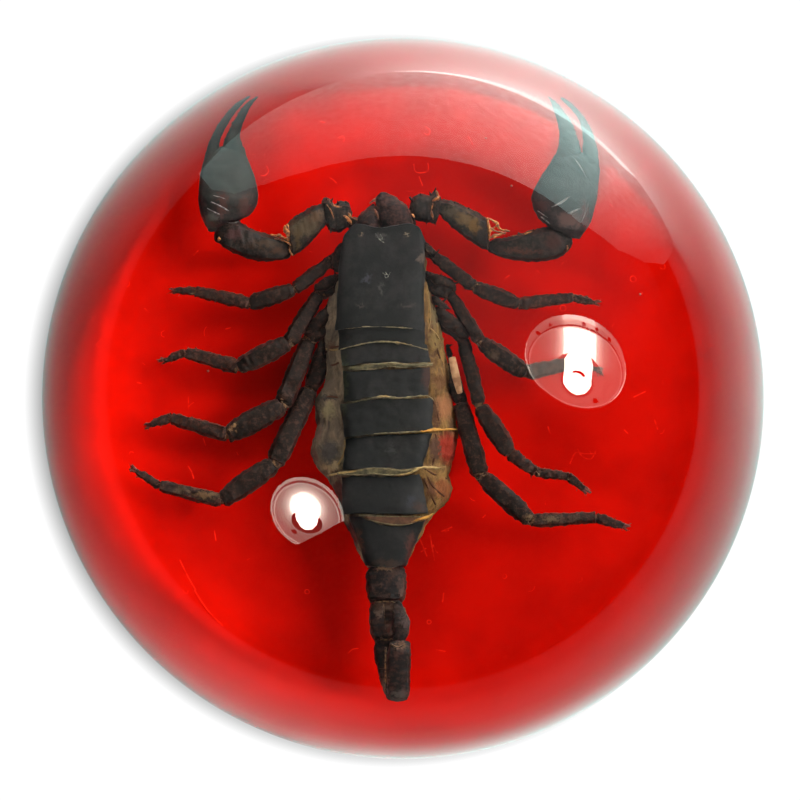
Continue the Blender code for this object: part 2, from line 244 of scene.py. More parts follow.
def loft(bm, sections, sides, flat=2.0, keels=(), mat=0):
    """A closed skin through rings. A section is its centre, across and up vectors.
    flat above 2 squares the ring; keels are angles in degrees where a ridge stands out."""
    ring = bmesh.ops.create_circle(bm, segments=sides, radius=1.0)["verts"]
    for vert in ring:
        turn = math.atan2(vert.co.y, vert.co.x)
        side, rise = math.cos(turn), math.sin(turn)
        reach = (abs(side) ** flat + abs(rise) ** flat) ** (-1 / flat)
        for angle in keels:
            off = math.degrees(turn) - angle
            if abs((off + 180) % 360 - 180) < 180 / sides:
                reach *= KEEL_RISE
        vert.co = Vector((side * reach, rise * reach, 0))
    edges = list({edge for vert in ring for edge in vert.link_edges})
    before = Matrix.Identity(4)
    ends = []
    for number, (centre, across, up) in enumerate(sections):
        along = across.cross(up).normalized()
        matrix = Matrix((across, up, along)).transposed().to_4x4()
        matrix.translation = centre
        if number:
            new = bmesh.ops.extrude_edge_only(bm, edges=edges)["geom"]
            ring = [item for item in new if isinstance(item, bmesh.types.BMVert)]
            made = set(ring)
            edges = [item for item in new if isinstance(item, bmesh.types.BMEdge)
                     and all(vert in made for vert in item.verts)]
            for item in new:
                if isinstance(item, bmesh.types.BMFace):
                    item.material_index = mat
        else:
            ends.append(edges)
        bmesh.ops.transform(bm, matrix=matrix @ before.inverted(), verts=ring)
        before = matrix
    ends.append(edges)
    for rim in ends:
        for item in bmesh.ops.contextual_create(bm, geom=rim)["faces"]:
            item.material_index = mat


def rounded(rows, ends):
    """Rows with three more at each end that close it in a round nose of that length."""
    noses = []
    for row, inner, length in ((rows[0], rows[1], ends[0]), (rows[-1], rows[-2], ends[1])):
        start = Vector(row[:3])
        way = (start - Vector(inner[:3])).normalized()
        nose = []
        for reach in NOSE_RINGS:
            shrink = math.sqrt(1 - reach * reach)
            nose.append([*(start + way * length * reach), row[3] * shrink, row[4] * shrink])
        noses.append(nose)
    return noses[0][::-1] + rows + noses[1]


def limb(bm, stations, sides=16, steps=4, ends=(0.4, 0.4), flat=2.0, keels=(), mat=0):
    """A round-ended limb through rows of (x, y, z, half width, half height) in mm."""
    rows = rounded(resample(stations, steps), ends)
    points = [Vector(row[:3]) for row in rows]
    sections = []
    for i, row in enumerate(rows):
        along = (points[min(i + 1, len(rows) - 1)] - points[max(i - 1, 0)]).normalized()
        across = along.cross(UP).normalized()
        up = across.cross(along)
        sections.append((points[i], across * row[3], up * row[4]))
    loft(bm, sections, sides, flat, keels, mat)


def thread(bm, points, level, width, height, mat=0, sides=6, steps=3):
    """A thin line of one width lying at a level through points (x, y)."""
    limb(bm, [(x, y, level, width, height) for x, y in points], sides=sides, steps=steps,
         ends=(width, width), mat=mat)


def circle(x, y, radius):
    """Points round a small ring, its end overlapping its start."""
    turns = [math.radians(60 * step) for step in range(7)]
    return [(x + radius * math.cos(turn), y + radius * math.sin(turn)) for turn in turns]


def paint(made, mat):
    """Gives the faces of a shape that bmesh has just made a material by its number."""
    for face in {face for vert in made["verts"] for face in vert.link_faces}:
        face.material_index = mat


def ball(bm, centre, size, mat=0, fine=3):
    """An ellipsoid with the three half sizes."""
    matrix = Matrix.Translation(centre) @ Matrix.Diagonal((*size, 1))
    made = bmesh.ops.create_icosphere(bm, subdivisions=fine, radius=1.0, matrix=matrix)
    paint(made, mat)


def finish_skin(bm, grain, depth):
    """Faces outwards, and the surface lifted and dented by rough noise of that grain and depth."""
    bmesh.ops.recalc_face_normals(bm, faces=bm.faces)
    bm.normal_update()
    for vert in bm.verts:
        vert.co += vert.normal * depth * noise.fractal(vert.co / grain, 0.7, 2.3, 3)


# Scraped red resin, matt, coloured brighter than the layer as a painted glint.
mark_paint_and_glint = mottled("scraped_red_resin_painted_glint", 0.6, ((0.35, RED_BONDED), (0.6, MARK_GLINT_COLOUR)), Roughness=0.9,
                     Specular_IOR_Level=0.0)
# Pale dust that settled before the second pour: matt, off-white.
dust = new_material("pale_dust", Base_Color=linear("#9c5a4e"), Roughness=0.95, Specular_IOR_Level=0.0)

rng = random.Random(7)
bm = bmesh.new()
for points in SCRAPES:
    thread(bm, points, RED_TOP, MARK_WIDTH, MARK_HEIGHT)
for ring in RINGS:
    thread(bm, circle(*ring), RED_TOP, MARK_WIDTH * 0.8, MARK_HEIGHT)
for _ in range(FINE_MARKS):
    radius = MARKED_RADIUS * math.sqrt(rng.random())
    bearing = rng.uniform(0, 2 * math.pi)
    x, y = radius * math.cos(bearing), radius * math.sin(bearing)
    heading = rng.uniform(0, 2 * math.pi)
    curl = rng.uniform(-1.3, 1.3)
    points = [(x, y)]
    for _ in range(rng.choice((1, 1, 2, 3))):
        x += FINE_STEP * math.cos(heading)
        y += FINE_STEP * math.sin(heading)
        heading += curl
        points.append((x, y))
    thread(bm, points, RED_TOP, MARK_WIDTH * rng.uniform(0.25, 0.6), MARK_HEIGHT)
for x, y in SPECKS:
    ball(bm, (x, y, RED_TOP + 0.1), (SPECK_RADIUS,) * 3, mat=1, fine=2)
bmesh.ops.recalc_face_normals(bm, faces=bm.faces)
make_piece("scrape_marks", bm, (mark_paint_and_glint, dust), ["red_base"])


# --- Scorpion: side skin --------------------------------------------------------------
# The soft pleural skin that joins the back plates to the belly, dried to an olive-brown sheet
# on the left and a yellow-brown one on the right, pleated where each plate pulled on it.

# Rows across the body: y, left edge, right edge, underside and top height.
SKIN_ROWS = (
    (16.0, -4.0, 0.6, 5.6, 8.2), (15.0, -5.0, 1.5, 4.9, 8.6), (13.0, -5.7, 2.0, 4.5, 8.7),
    (11.6, -6.0, 2.15, 4.3, 8.8), (10.7, -6.15, 2.2, 4.3, 8.8), (9.7, -6.6, 2.6, 4.2, 8.9),
    (8.2, -7.2, 3.0, 4.1, 8.9), (6.7, -7.5, 3.55, 4.1, 9.0), (5.0, -7.5, 3.7, 4.0, 9.0),
    (3.4, -7.4, 4.0, 4.0, 9.0), (1.8, -7.3, 4.4, 4.0, 9.0), (0.6, -7.5, 4.45, 4.0, 9.0),
    (-0.4, -8.1, 4.5, 4.0, 9.0), (-1.6, -8.3, 4.8, 4.0, 9.0), (-3.1, -8.15, 5.05, 4.0, 9.0),
    (-4.3, -8.45, 5.15, 4.0, 9.0), (-5.8, -8.7, 4.95, 4.0, 9.0), (-7.0, -8.15, 4.5, 4.1, 8.9),
    (-7.9, -7.4, 4.3, 4.1, 8.9), (-9.0, -6.7, 4.55, 4.2, 8.8), (-10.3, -6.1, 4.2, 4.2, 8.7),
    (-11.2, -5.9, 3.3, 4.3, 8.6), (-12.2, -5.7, 2.4, 4.4, 8.5), (-13.4, -5.1, 1.8, 4.6, 8.2),
    (-15.2, -4.3, 0.9, 4.8, 7.9), (-16.6, -3.5, 0.2, 5.0, 7.6),
)
SKIN_LEFT_PALE = "#6a5946"
SKIN_LEFT_DARK = "#473b32"
SKIN_RIGHT_PALE = "#75582f"
SKIN_RIGHT_DARK = "#4e3522"
SKIN_FLAT = 2.4
# Grain of the noise that tears a stain's outline, and between which shares of its size it fades.
TEAR_GRAIN = 0.5
STAIN_FADE = (1.3, 0.7)
BODY_MIDDLE = -1.7
PLEAT = 1.1
# Stains: x, y, half width, half height and colour.
SKIN_STAINS = (
    (-6.9, 4.3, 0.5, 0.35, "#4e382a"), (-7.0, 0.6, 0.6, 0.8, "#55473a"), (-7.1, -0.6, 0.8, 0.22, "#2f2a27"),
    (-7.1, -1.9, 0.65, 0.75, "#6f6247"), (-7.0, -5.8, 0.85, 1.0, "#3a342f"),
    (-8.2, -3.6, 0.35, 1.2, "#5c4438"), (-8.5, -6.2, 0.35, 1.0, "#54392f"),
    (-6.8, -7.3, 0.9, 0.4, "#7c684c"), (-5.7, -6.1, 0.2, 0.8, "#655b46"), (3.0, 4.9, 0.5, 0.9, "#6c5632"),
    (3.1, 7.4, 0.5, 1.2, "#625339"), (3.6, 0.9, 0.8, 0.7, "#5e3f26"), (3.9, -1.5, 0.9, 1.1, "#7e5335"),
    (3.1, -2.5, 0.4, 1.3, "#4f3424"), (4.3, -5.4, 0.9, 1.5, "#82281a"), (3.1, -5.5, 0.5, 1.3, "#4c3427"),
    (2.9, -7.3, 1.1, 0.35, "#6f5233"), (3.9, -9.3, 0.8, 0.9, "#724225"), (2.7, -9.3, 0.4, 1.0, "#573622"),
    (-6.2, -9.8, 0.7, 1.4, "#4b2c26"), (-4.9, -13.6, 0.6, 1.7, "#472823"),
)
# Folds, as points (x, y) and the number of their material: 1 sunken and dark, 2 raised and pale.
SKIN_FOLDS = (
    (((-7.8, -0.85), (-7.1, -0.5), (-6.3, -0.6)), 1), (((-7.5, 4.35), (-6.8, 4.2), (-6.1, 4.3)), 1),
    (((-7.4, 4.1), (-6.8, 3.95), (-6.2, 4.0)), 2), (((-5.6, -4.8), (-5.7, -6.0), (-6.2, -7.0)), 2),
    (((-7.3, 2.6), (-6.7, 2.5), (-6.2, 2.7)), 1), (((2.2, 10.4), (2.45, 8.8), (2.6, 7.2), (2.4, 6.0)), 2),
    (((2.5, 9.8), (2.8, 8.2), (3.2, 6.6)), 1), (((2.6, 6.0), (3.2, 5.4), (3.6, 4.6)), 2),
    (((3.0, 4.6), (3.3, 3.8), (3.5, 3.2)), 1), (((2.9, -1.0), (3.3, -2.2), (3.5, -3.4)), 1),
    (((3.1, -4.2), (3.2, -5.5), (2.8, -7.1)), 1), (((2.6, -7.1), (3.3, -7.35), (4.0, -7.2)), 2),
    (((2.1, -7.8), (2.9, -9.2), (3.9, -10.0)), 1), (((2.0, -8.3), (2.5, -9.6), (3.1, -10.8)), 1),
    (((2.0, -7.5), (3.0, -8.0), (4.1, -8.3)), 1),
)
FOLD_WIDTH = 0.1
FOLD_RISE = -0.04


def across_rows(bm, rows, sides, steps, flat):
    """A body skin through upright rings from rows of y, left, right, low and high."""
    sections = []
    for y, left, right, low, high in resample(rows, steps):
        centre = Vector(((left + right) / 2, y, (low + high) / 2))
        sections.append((centre, Vector(((right - left) / 2, 0, 0)), Vector((0, 0, (high - low) / 2))))
    loft(bm, sections, sides, flat)


def skin_top(x, y):
    """The height of the side skin's upper surface at a spot."""
    rows = resample(SKIN_ROWS, 6)
    _, left, right, low, high = min(rows, key=lambda row: abs(row[0] - y))
    aside = min(abs(2 * x - left - right) / (right - left), 1.0)
    return (low + high) / 2 + (high - low) / 2 * (1 - aside ** SKIN_FLAT) ** (1 / SKIN_FLAT)


def torn(mat, place, reach):
    """The place pushed about by noise, so that what is drawn by it gets torn edges."""
    push = node(mat, "TexNoise", {"Vector": place, "Scale": 1 / (TEAR_GRAIN * MM), "Detail": 8.0,
                                  "Roughness": 0.8})
    push = node(mat, "VectorMath", {0: push.outputs["Color"], 1: (0.5, 0.5, 0.5)}, operation="SUBTRACT")
    return node(mat, "VectorMath", {0: push.outputs[0], 1: (reach * MM,) * 3, 2: place},
                operation="MULTIPLY_ADD").outputs[0]


def stain(mat, place, tint, stains):
    """A colour with stains over it, each as x, y, half width, half height in mm and a colour."""
    for x, y, wide, high, colour in stains:
        off = node(mat, "VectorMath", {0: place, 1: (x * MM, y * MM, 0)}, operation="SUBTRACT")
        off = node(mat, "VectorMath", {0: off.outputs[0], 1: (1 / (wide * MM), 1 / (high * MM), 0)},
                   operation="MULTIPLY")
        off = node(mat, "VectorMath", {0: off.outputs[0]}, operation="LENGTH").outputs["Value"]
        share = node(mat, "MapRange", {0: off, 1: STAIN_FADE[0], 2: STAIN_FADE[1]})
        mixed = node(mat, "Mix", {0: share.outputs[0], 6: tint, 7: linear(colour)}, data_type="RGBA")
        tint = mixed.outputs[2]
    return tint


# Dried skin: drawn tight as it shrank, so it is fibrous, matt and blotched by old body fluid.
skin = new_material("dried_pleural_skin", Roughness=0.75, Specular_IOR_Level=0.1)
place = node(skin, "TexCoord").outputs["Object"]
axes = node(skin, "SeparateXYZ", {0: place})
fold = node(skin, "Mapping", {"Vector": place, "Scale": (1, 0.4, 1)})
wrinkle = node(skin, "TexNoise", {"Vector": fold.outputs[0], "Scale": 1 / (PLEAT * MM), "Detail": 8.0,
                                  "Roughness": 0.7, "Distortion": 0.8})
left_tint = node(skin, "ValToRGB", {0: wrinkle.outputs[0]},
                 stops=((0.38, SKIN_LEFT_DARK), (0.6, SKIN_LEFT_PALE)))
right_tint = node(skin, "ValToRGB", {0: wrinkle.outputs[0]},
                  stops=((0.38, SKIN_RIGHT_DARK), (0.6, SKIN_RIGHT_PALE)))
side = node(skin, "MapRange", {0: axes.outputs["X"], 1: (BODY_MIDDLE - 1) * MM, 2: (BODY_MIDDLE + 1) * MM})
both = node(skin, "Mix", {0: side.outputs[0], 6: left_tint.outputs[0], 7: right_tint.outputs[0]},
            data_type="RGBA")
both = stain(skin, torn(skin, place, 2.4), both.outputs[2], SKIN_STAINS)
speck = node(skin, "MapRange", {0: wrinkle.outputs[0], 1: 0.3, 2: 0.7, 3: 0.72, 4: 1.28})
both = node(skin, "VectorMath", {0: both, 3: speck.outputs[0]}, operation="SCALE")
feed(skin, "Base Color", both.outputs[0])
relief = node(skin, "Bump", {"Height": wrinkle.outputs[0], "Strength": 0.8, "Distance": 0.35 * MM})
feed(skin, "Normal", relief.outputs[0])
# The sunken folds lie in their own shade; the raised ones have dried pale and horny.
fold_dark = new_material("sunken_skin_fold", Base_Color=linear("#46291d"), Roughness=0.8,
                         Specular_IOR_Level=0.1)
fold_pale = new_material("raised_skin_fold", Base_Color=linear("#7c6038"), Roughness=0.6,
                         Specular_IOR_Level=0.2)

bm = bmesh.new()
across_rows(bm, SKIN_ROWS, sides=96, steps=8, flat=SKIN_FLAT)
finish_skin(bm, grain=1.0, depth=0.2)
for points, mat in SKIN_FOLDS:
    rows = [(x, y, skin_top(x, y) + FOLD_RISE, FOLD_WIDTH, FOLD_WIDTH) for x, y in points]
    limb(bm, rows, sides=6, steps=5, ends=(0.1, 0.1), mat=mat)
bmesh.ops.recalc_face_normals(bm, faces=bm.faces)
make_piece("side_skin", bm, (skin, fold_dark, fold_pale), ["scorpion"], sharp=60)


# --- Scorpion: head shield and back plates --------------------------------------------
# Plates of hardened black cuticle, one over the head and seven down the back, each lapping
# the next. Dull under the resin, because their gloss is lost where the resin wets them.

SHELL_BLACK = "#1c1c1b"
SHELL_WORN = "#262423"
PLATE_THICKNESS = 0.45
# Size and depth of the cuticle's granules, how softly its worn specks end, and where its edges
# start to look brown and where they are all brown, by how far they face away from the camera:
# partly the red-brown of thin cuticle, partly painted rim light.
GRANULE = 0.22
GRANULE_DEPTH = 0.1
WORN_SOFTNESS = 0.08
PAINTED_RIM_FACING = (0.9, 1.35)

# Plates: front edge, rear edge as (x, y) from left to right, and the crown's height.
PLATES = {
    "head_shield": (
        ((-6.05, 13.9), (-5.4, 15.5), (-4.4, 16.25), (-3.4, 16.1), (-2.3, 15.9), (-1.2, 16.0),
         (-0.1, 16.25), (1.0, 16.2), (1.8, 15.5), (2.1, 14.0)),
        ((-6.5, 5.8), (-5.1, 6.05), (-3.7, 6.1), (-1.7, 6.2), (0.2, 6.1), (2.0, 5.75)), 9.9),
    "back_plate_1": (
        ((-6.2, 6.6), (-3.7, 6.9), (-1.7, 7.0), (0.2, 6.9), (2.1, 6.5)),
        ((-6.15, 3.95), (-4.9, 4.25), (-3.3, 4.6), (-1.7, 4.7), (-0.3, 4.6), (0.9, 4.3), (2.1, 3.9)), 9.75),
    "back_plate_2": (
        ((-6.0, 4.4), (-3.7, 4.8), (-1.7, 4.9), (0.3, 4.7), (2.3, 4.4)),
        ((-5.85, 2.4), (-5.1, 2.4), (-3.8, 2.6), (-2.4, 2.65), (-1.1, 2.75),
         (0.2, 2.65), (2.7, 2.75)), 9.85),
    "back_plate_3": (
        ((-5.75, 1.9), (-4.9, 1.85), (-3.7, 1.9), (-1.7, 2.05), (0.2, 2.05), (2.6, 2.25)),
        ((-5.6, -1.05), (-4.6, -0.95), (-3.2, -0.7), (-1.7, -0.55), (0.2, -0.65), (2.4, -0.4)), 9.95),
    "back_plate_4": (
        ((-6.0, -1.3), (-4.6, -1.15), (-3.2, -0.9), (-1.7, -0.75), (0.2, -0.85), (2.8, -0.7)),
        ((-5.6, -4.5), (-4.4, -4.4), (-2.7, -4.2), (-0.8, -4.1), (1.2, -3.95), (2.9, -3.8)), 10.0),
    "back_plate_5": (
        ((-5.5, -4.7), (-4.4, -4.55), (-2.7, -4.35), (-0.8, -4.25), (1.2, -4.15), (2.75, -4.1)),
        ((-5.8, -7.6), (-4.9, -7.65), (-3.2, -7.5), (-1.3, -7.5), (0.2, -7.6), (1.9, -7.25)), 9.9),
    "back_plate_6": (
        ((-5.9, -8.3), (-4.7, -8.25), (-3.2, -8.35), (-1.7, -8.35), (-0.3, -8.3), (1.7, -8.0)),
        ((-5.8, -11.9), (-3.7, -11.95), (-1.8, -11.95), (0.2, -12.0), (2.45, -11.8)), 9.7),
    "back_plate_7": (
        ((-5.2, -12.1), (-4.2, -12.2), (-3.2, -12.6), (-1.7, -13.05), (-0.3, -13.1), (1.2, -12.8),
         (2.15, -12.4)),
        ((-3.6, -16.75), (-2.6, -17.0), (-1.6, -17.05), (-0.6, -17.0), (0.3, -16.75)), 9.2),
}
PLATE_ROWS = 20
PLATE_COLUMNS = 48
# Size of the waves in a plate's edges and how far they stray.
PLATE_WAVE = 0.9
PLATE_STRAY = 0.12
# How far a plate turns down at its sides, dips under the one before, and slopes to the tail.
SIDE_DROOP = 0.9
FRONT_DIP = 0.22
TAIL_SLOPE = 0.9
# Pale and rusty patches on the plates, as stains, and one long dark patch of painted shade.
PLATE_STAINS_AND_SHADE = (
    (-4.13, 15.1, 0.16, 0.14, "#6a5a48"), (0.47, 15.15, 0.2, 0.14, "#665a48"),
    (-2.2, 15.0, 0.4, 0.25, "#3c3a35"), (-3.55, 10.85, 0.4, 0.35, "#333438"),
    (-2.15, 9.7, 0.2, 0.7, "#383833"), (1.9, 12.9, 0.45, 0.5, "#4c4038"), (-4.1, 8.2, 0.6, 0.12, "#3a352f"),
    # Painted shade: the long greenish-black patch at (-5.7, 0.6), where the plates overhang the side skin.
    (0.4, 8.2, 0.7, 0.12, "#3a352f"), (2.3, 1.2, 0.4, 1.2, "#33211c"), (-5.7, 0.6, 0.35, 3.0, "#2e3024"),
    (-1.2, -5.8, 0.4, 0.4, "#2d2d2b"), (0.7, -10.7, 0.4, 0.6, "#2c2c30"),
    (-4.3, -15.0, 0.3, 1.6, "#40291f"), (0.7, -15.2, 0.4, 1.5, "#402822"),
    (-1.6, -16.7, 1.4, 0.35, "#332620"), (1.6, -11.3, 0.6, 0.4, "#33251f"),
)


def shell_material(name, dark, worn, grain, share, edge=None, stains=(), bumpy=0.25):
    """Cuticle: dark, worn lighter in specks of a grain, granular; browner edges: thin cuticle and painted
    rim light.
    """
    mat = new_material(name, Roughness=0.6, Specular_IOR_Level=0.1)
    place = node(mat, "TexCoord").outputs["Object"]
    patch = node(mat, "TexNoise", {"Vector": place, "Scale": 1 / (grain * MM), "Detail": 4.0,
                                   "Roughness": 0.75})
    tint = node(mat, "ValToRGB", {0: patch.outputs[0]},
                stops=((share - WORN_SOFTNESS, dark), (share + WORN_SOFTNESS, worn))).outputs[0]
    if edge:
        # Painted rim light: the edge colour is mixed in where the surface turns away from the camera.
        painted_rim_facing = node(mat, "LayerWeight", {0: 0.5}).outputs["Facing"]
        painted_rim_facing = node(mat, "Math", {0: painted_rim_facing, 1: patch.outputs[0]}, operation="ADD")
        thin = node(mat, "MapRange", {0: painted_rim_facing.outputs[0], 1: PAINTED_RIM_FACING[0], 2: PAINTED_RIM_FACING[1]})
        tint = node(mat, "Mix", {0: thin.outputs[0], 6: tint, 7: linear(edge)}, data_type="RGBA").outputs[2]
    tint = stain(mat, torn(mat, place, 3.0), tint, stains)
    feed(mat, "Base Color", tint)
    granule = node(mat, "TexVoronoi", {"Vector": place, "Scale": 1 / (GRANULE * MM)})
    height = node(mat, "Mix", {0: 0.5, 2: granule.outputs["Distance"], 3: patch.outputs[0]})
    relief = node(mat, "Bump", {"Height": height.outputs[0], "Strength": bumpy,
                                "Distance": GRANULE_DEPTH * MM})
    feed(mat, "Normal", relief.outputs[0])
    return mat


def edge_point(points, part):
    """The point at a part of a smooth edge through a few points."""
    rows = resample(points, 8)
    place = part * (len(rows) - 1)
    low = min(int(place), len(rows) - 2)
    return Vector(rows[low]).lerp(Vector(rows[low + 1]), place - low)


def plate_height(part, crown):
    """A plate's height across the body: level in the middle and turned down at its sides."""
    return crown - SIDE_DROOP * abs(2 * part - 1) ** 4


# One fixed seed, so that the uneven edges of the plates come out the same each run.
noise.seed_set(1)
# Hardened cuticle: tanned black as it set, with worn grey-brown specks and rusty thin places.
shell = shell_material("black_cuticle", SHELL_BLACK, SHELL_WORN, 2.2, 0.56, stains=PLATE_STAINS_AND_SHADE, bumpy=0.15)
for name, (front, rear, crown) in PLATES.items():
    bm = bmesh.new()
    bmesh.ops.create_grid(bm, x_segments=PLATE_COLUMNS, y_segments=PLATE_ROWS, size=0.5)
    for vert in bm.verts:
        part, forward = vert.co.x + 0.5, vert.co.y + 0.5
        spot = edge_point(rear, part).lerp(edge_point(front, part), forward)
        spot += noise.noise_vector(spot.to_3d() / PLATE_WAVE).xy * PLATE_STRAY
        height = plate_height(part, crown) - FRONT_DIP * forward ** 2
        if name == "back_plate_7":
            height -= TAIL_SLOPE * (1 - forward) ** 2
        vert.co = Vector((spot.x, spot.y, height))
    under = bmesh.ops.extrude_face_region(bm, geom=bm.faces[:])["geom"]
    bmesh.ops.translate(bm, vec=(0, 0, -PLATE_THICKNESS),
                        verts=[item for item in under if isinstance(item, bmesh.types.BMVert)])
    finish_skin(bm, grain=1.1, depth=0.06)
    make_piece(name, bm, (shell,), ["scorpion"], sharp=45)


# --- Scorpion: pale seams between the plates ------------------------------------------
# The folded skin between two plates, dried olive and tan. Each seam is a thin lip behind its
# plate, in places two lips with a dark hollow between, and yellow where the body was stretched.

# Strands: colour, then stations (x, y, height, half width, half height) from left to right.
SEAMS = (
    ("dull", (-5.6, 5.98, 9.4, 0.03, 0.06), (-4.3, 6.12, 9.8, 0.05, 0.08), (-2.8, 6.16, 9.9, 0.05, 0.08),
     (-0.8, 6.1, 9.85, 0.04, 0.08), (0.8, 6.0, 9.7, 0.02, 0.05)),
    ("dull", (-6.0, 3.98, 9.1, 0.04, 0.08), (-4.8, 4.3, 9.6, 0.06, 0.1), (-3.2, 4.62, 9.8, 0.05, 0.1),
     (-1.7, 4.72, 9.85, 0.09, 0.1), (-0.2, 4.55, 9.8, 0.09, 0.1), (1.2, 4.24, 9.6, 0.05, 0.08),
     (2.3, 3.95, 9.0, 0.08, 0.1)),
    ("tan", (-0.8, 4.68, 9.88, 0.02, 0.05), (-0.1, 4.56, 9.9, 0.05, 0.08), (0.7, 4.42, 9.75, 0.02, 0.05)),
    ("dark", (-5.2, 2.12, 9.3, 0.14, 0.08), (-3.8, 2.25, 9.7, 0.24, 0.1), (-2.4, 2.33, 9.8, 0.24, 0.1),
     (-1.1, 2.46, 9.8, 0.2, 0.1), (0.2, 2.38, 9.75, 0.18, 0.1), (2.7, 2.5, 9.0, 0.12, 0.1)),
    ("dull", (-5.0, 2.3, 9.4, 0.04, 0.06), (-3.8, 2.5, 9.75, 0.06, 0.1), (-2.4, 2.52, 9.85, 0.07, 0.1),
     (-1.1, 2.63, 9.9, 0.1, 0.1), (0.2, 2.52, 9.85, 0.08, 0.1), (1.6, 2.62, 9.6, 0.05, 0.1),
     (2.8, 2.64, 9.1, 0.09, 0.1)),
    ("dull", (-5.1, 1.98, 9.3, 0.03, 0.06), (-3.7, 2.03, 9.7, 0.05, 0.08), (-2.4, 2.12, 9.8, 0.04, 0.08),
     (-1.1, 2.29, 9.85, 0.04, 0.08), (0.3, 2.2, 9.8, 0.05, 0.08), (2.7, 2.4, 9.1, 0.05, 0.08)),
    ("dull", (-5.3, -1.15, 9.3, 0.04, 0.08), (-4.4, -1.05, 9.6, 0.07, 0.1), (-3.4, -0.85, 9.85, 0.05, 0.1),
     (-2.4, -0.66, 9.95, 0.12, 0.1), (-1.6, -0.63, 10.0, 0.13, 0.1), (-0.4, -0.76, 9.95, 0.08, 0.1),
     (1.0, -0.6, 9.7, 0.05, 0.08), (2.2, -0.45, 9.2, 0.08, 0.08), (2.9, -0.9, 8.8, 0.03, 0.06)),
    ("tan", (-2.4, -0.62, 10.0, 0.03, 0.06), (-1.7, -0.58, 10.08, 0.08, 0.08),
     (-1.1, -0.7, 10.0, 0.03, 0.06)),
    ("dark", (-5.6, -4.66, 9.2, 0.03, 0.06), (-4.2, -4.42, 9.8, 0.03, 0.06),
     (-2.6, -4.22, 9.95, 0.03, 0.06)),
    ("dull", (-3.4, -4.27, 9.9, 0.03, 0.06), (-2.0, -4.16, 9.97, 0.05, 0.08),
     (-0.6, -4.1, 9.98, 0.06, 0.08), (0.6, -4.03, 9.9, 0.07, 0.1), (1.6, -3.97, 9.75, 0.1, 0.1)),
    ("yellow", (0.9, -4.0, 9.86, 0.03, 0.06), (1.8, -3.94, 9.7, 0.1, 0.1), (2.6, -3.84, 9.35, 0.16, 0.12),
     (3.1, -3.8, 9.05, 0.2, 0.14), (3.9, -3.7, 8.6, 0.1, 0.1), (5.0, -3.6, 7.6, 0.08, 0.1)),
    ("dark", (-6.2, -7.98, 8.8, 0.12, 0.08), (-4.3, -7.95, 9.6, 0.22, 0.1), (-2.4, -7.85, 9.75, 0.28, 0.1),
     (-0.4, -7.95, 9.75, 0.24, 0.1), (1.3, -7.65, 9.4, 0.12, 0.1)),
    ("tan", (-7.1, -8.05, 7.9, 0.06, 0.08), (-5.9, -7.92, 9.0, 0.12, 0.1), (-5.0, -7.84, 9.45, 0.08, 0.1),
     (-4.0, -7.72, 9.75, 0.05, 0.08)),
    ("dull", (-4.4, -7.76, 9.7, 0.05, 0.08), (-3.3, -7.6, 9.85, 0.06, 0.1), (-2.3, -7.56, 9.9, 0.08, 0.1),
     (-1.1, -7.7, 9.9, 0.1, 0.1), (0.1, -7.8, 9.85, 0.07, 0.1), (1.2, -7.55, 9.55, 0.06, 0.08)),
    ("dull", (-5.6, -8.05, 9.2, 0.06, 0.08), (-4.3, -8.2, 9.65, 0.07, 0.1), (-3.0, -8.05, 9.8, 0.05, 0.08),
     (-2.0, -8.18, 9.85, 0.07, 0.1), (-0.8, -8.22, 9.85, 0.09, 0.1)),
    ("tan", (-1.3, -8.22, 9.85, 0.04, 0.08), (-0.2, -8.2, 9.85, 0.1, 0.1), (0.7, -8.0, 9.7, 0.1, 0.1),
     (1.3, -7.6, 9.5, 0.09, 0.1), (2.1, -7.38, 9.05, 0.13, 0.1), (3.4, -7.4, 8.2, 0.1, 0.1)),
    ("rust", (-3.6, -12.25, 9.05, 0.15, 0.08), (-2.0, -12.42, 9.1, 0.36, 0.1),
     (-0.4, -12.55, 9.1, 0.46, 0.1), (1.0, -12.5, 8.95, 0.3, 0.1), (2.0, -12.2, 8.6, 0.14, 0.1)),
    ("dull", (-4.1, -12.1, 9.1, 0.03, 0.06), (-2.8, -12.14, 9.2, 0.08, 0.08),
     (-1.2, -12.2, 9.2, 0.05, 0.08), (0.4, -12.2, 9.15, 0.05, 0.08), (1.6, -12.2, 8.95, 0.06, 0.08)),
    ("dull", (-3.4, -12.45, 9.0, 0.04, 0.06), (-2.1, -12.8, 9.05, 0.08, 0.08),
     (-0.6, -12.98, 9.05, 0.09, 0.08), (0.8, -12.82, 8.95, 0.08, 0.08)),
    ("yellow", (0.9, -12.7, 9.2, 0.04, 0.06), (1.6, -12.45, 9.05, 0.12, 0.1), (2.3, -12.2, 8.7, 0.15, 0.1),
     (2.9, -11.8, 8.2, 0.08, 0.1)),
)
SEAM_COLOURS = {
    "dark": ("#3a3526", "#6a5f44"), "dull": ("#554c38", "#8a7a58"), "tan": ("#74603e", "#a88c58"),
    "yellow": ("#6e4a20", "#b07e34"), "rust": ("#4c3226", "#664430"),
}

bm = bmesh.new()
mats = []
for number, (name, (deep, bright)) in enumerate(SEAM_COLOURS.items()):
    # Seam skin: folded and dried hard, so it is a little shinier than the side skin.
    mats.append(mottled(f"{name}_seam_skin", 0.7, ((0.38, deep), (0.62, bright)), detail=6.0, contrast=0.7,
                        Roughness=0.6, Specular_IOR_Level=0.15))
    for colour, *stations in SEAMS:
        if colour == name:
            limb(bm, stations, sides=8, steps=10, ends=(0.15, 0.15), mat=number)
finish_skin(bm, grain=0.5, depth=0.07)
make_piece("plate_seams", bm, mats, ["scorpion"], sharp=70)


# --- Scorpion: eyes -------------------------------------------------------------------
# The two median eyes have sunk into a tiny pale-rimmed pit in the middle of the head shield,
# and the lesser eyes are a pale bead at each front corner, with scratches between them.

EYE_RIM = (-1.6, 11.1, 0.17)
EYE_LEVEL = 9.98
EYE_BEAD_RADIUS = 0.1
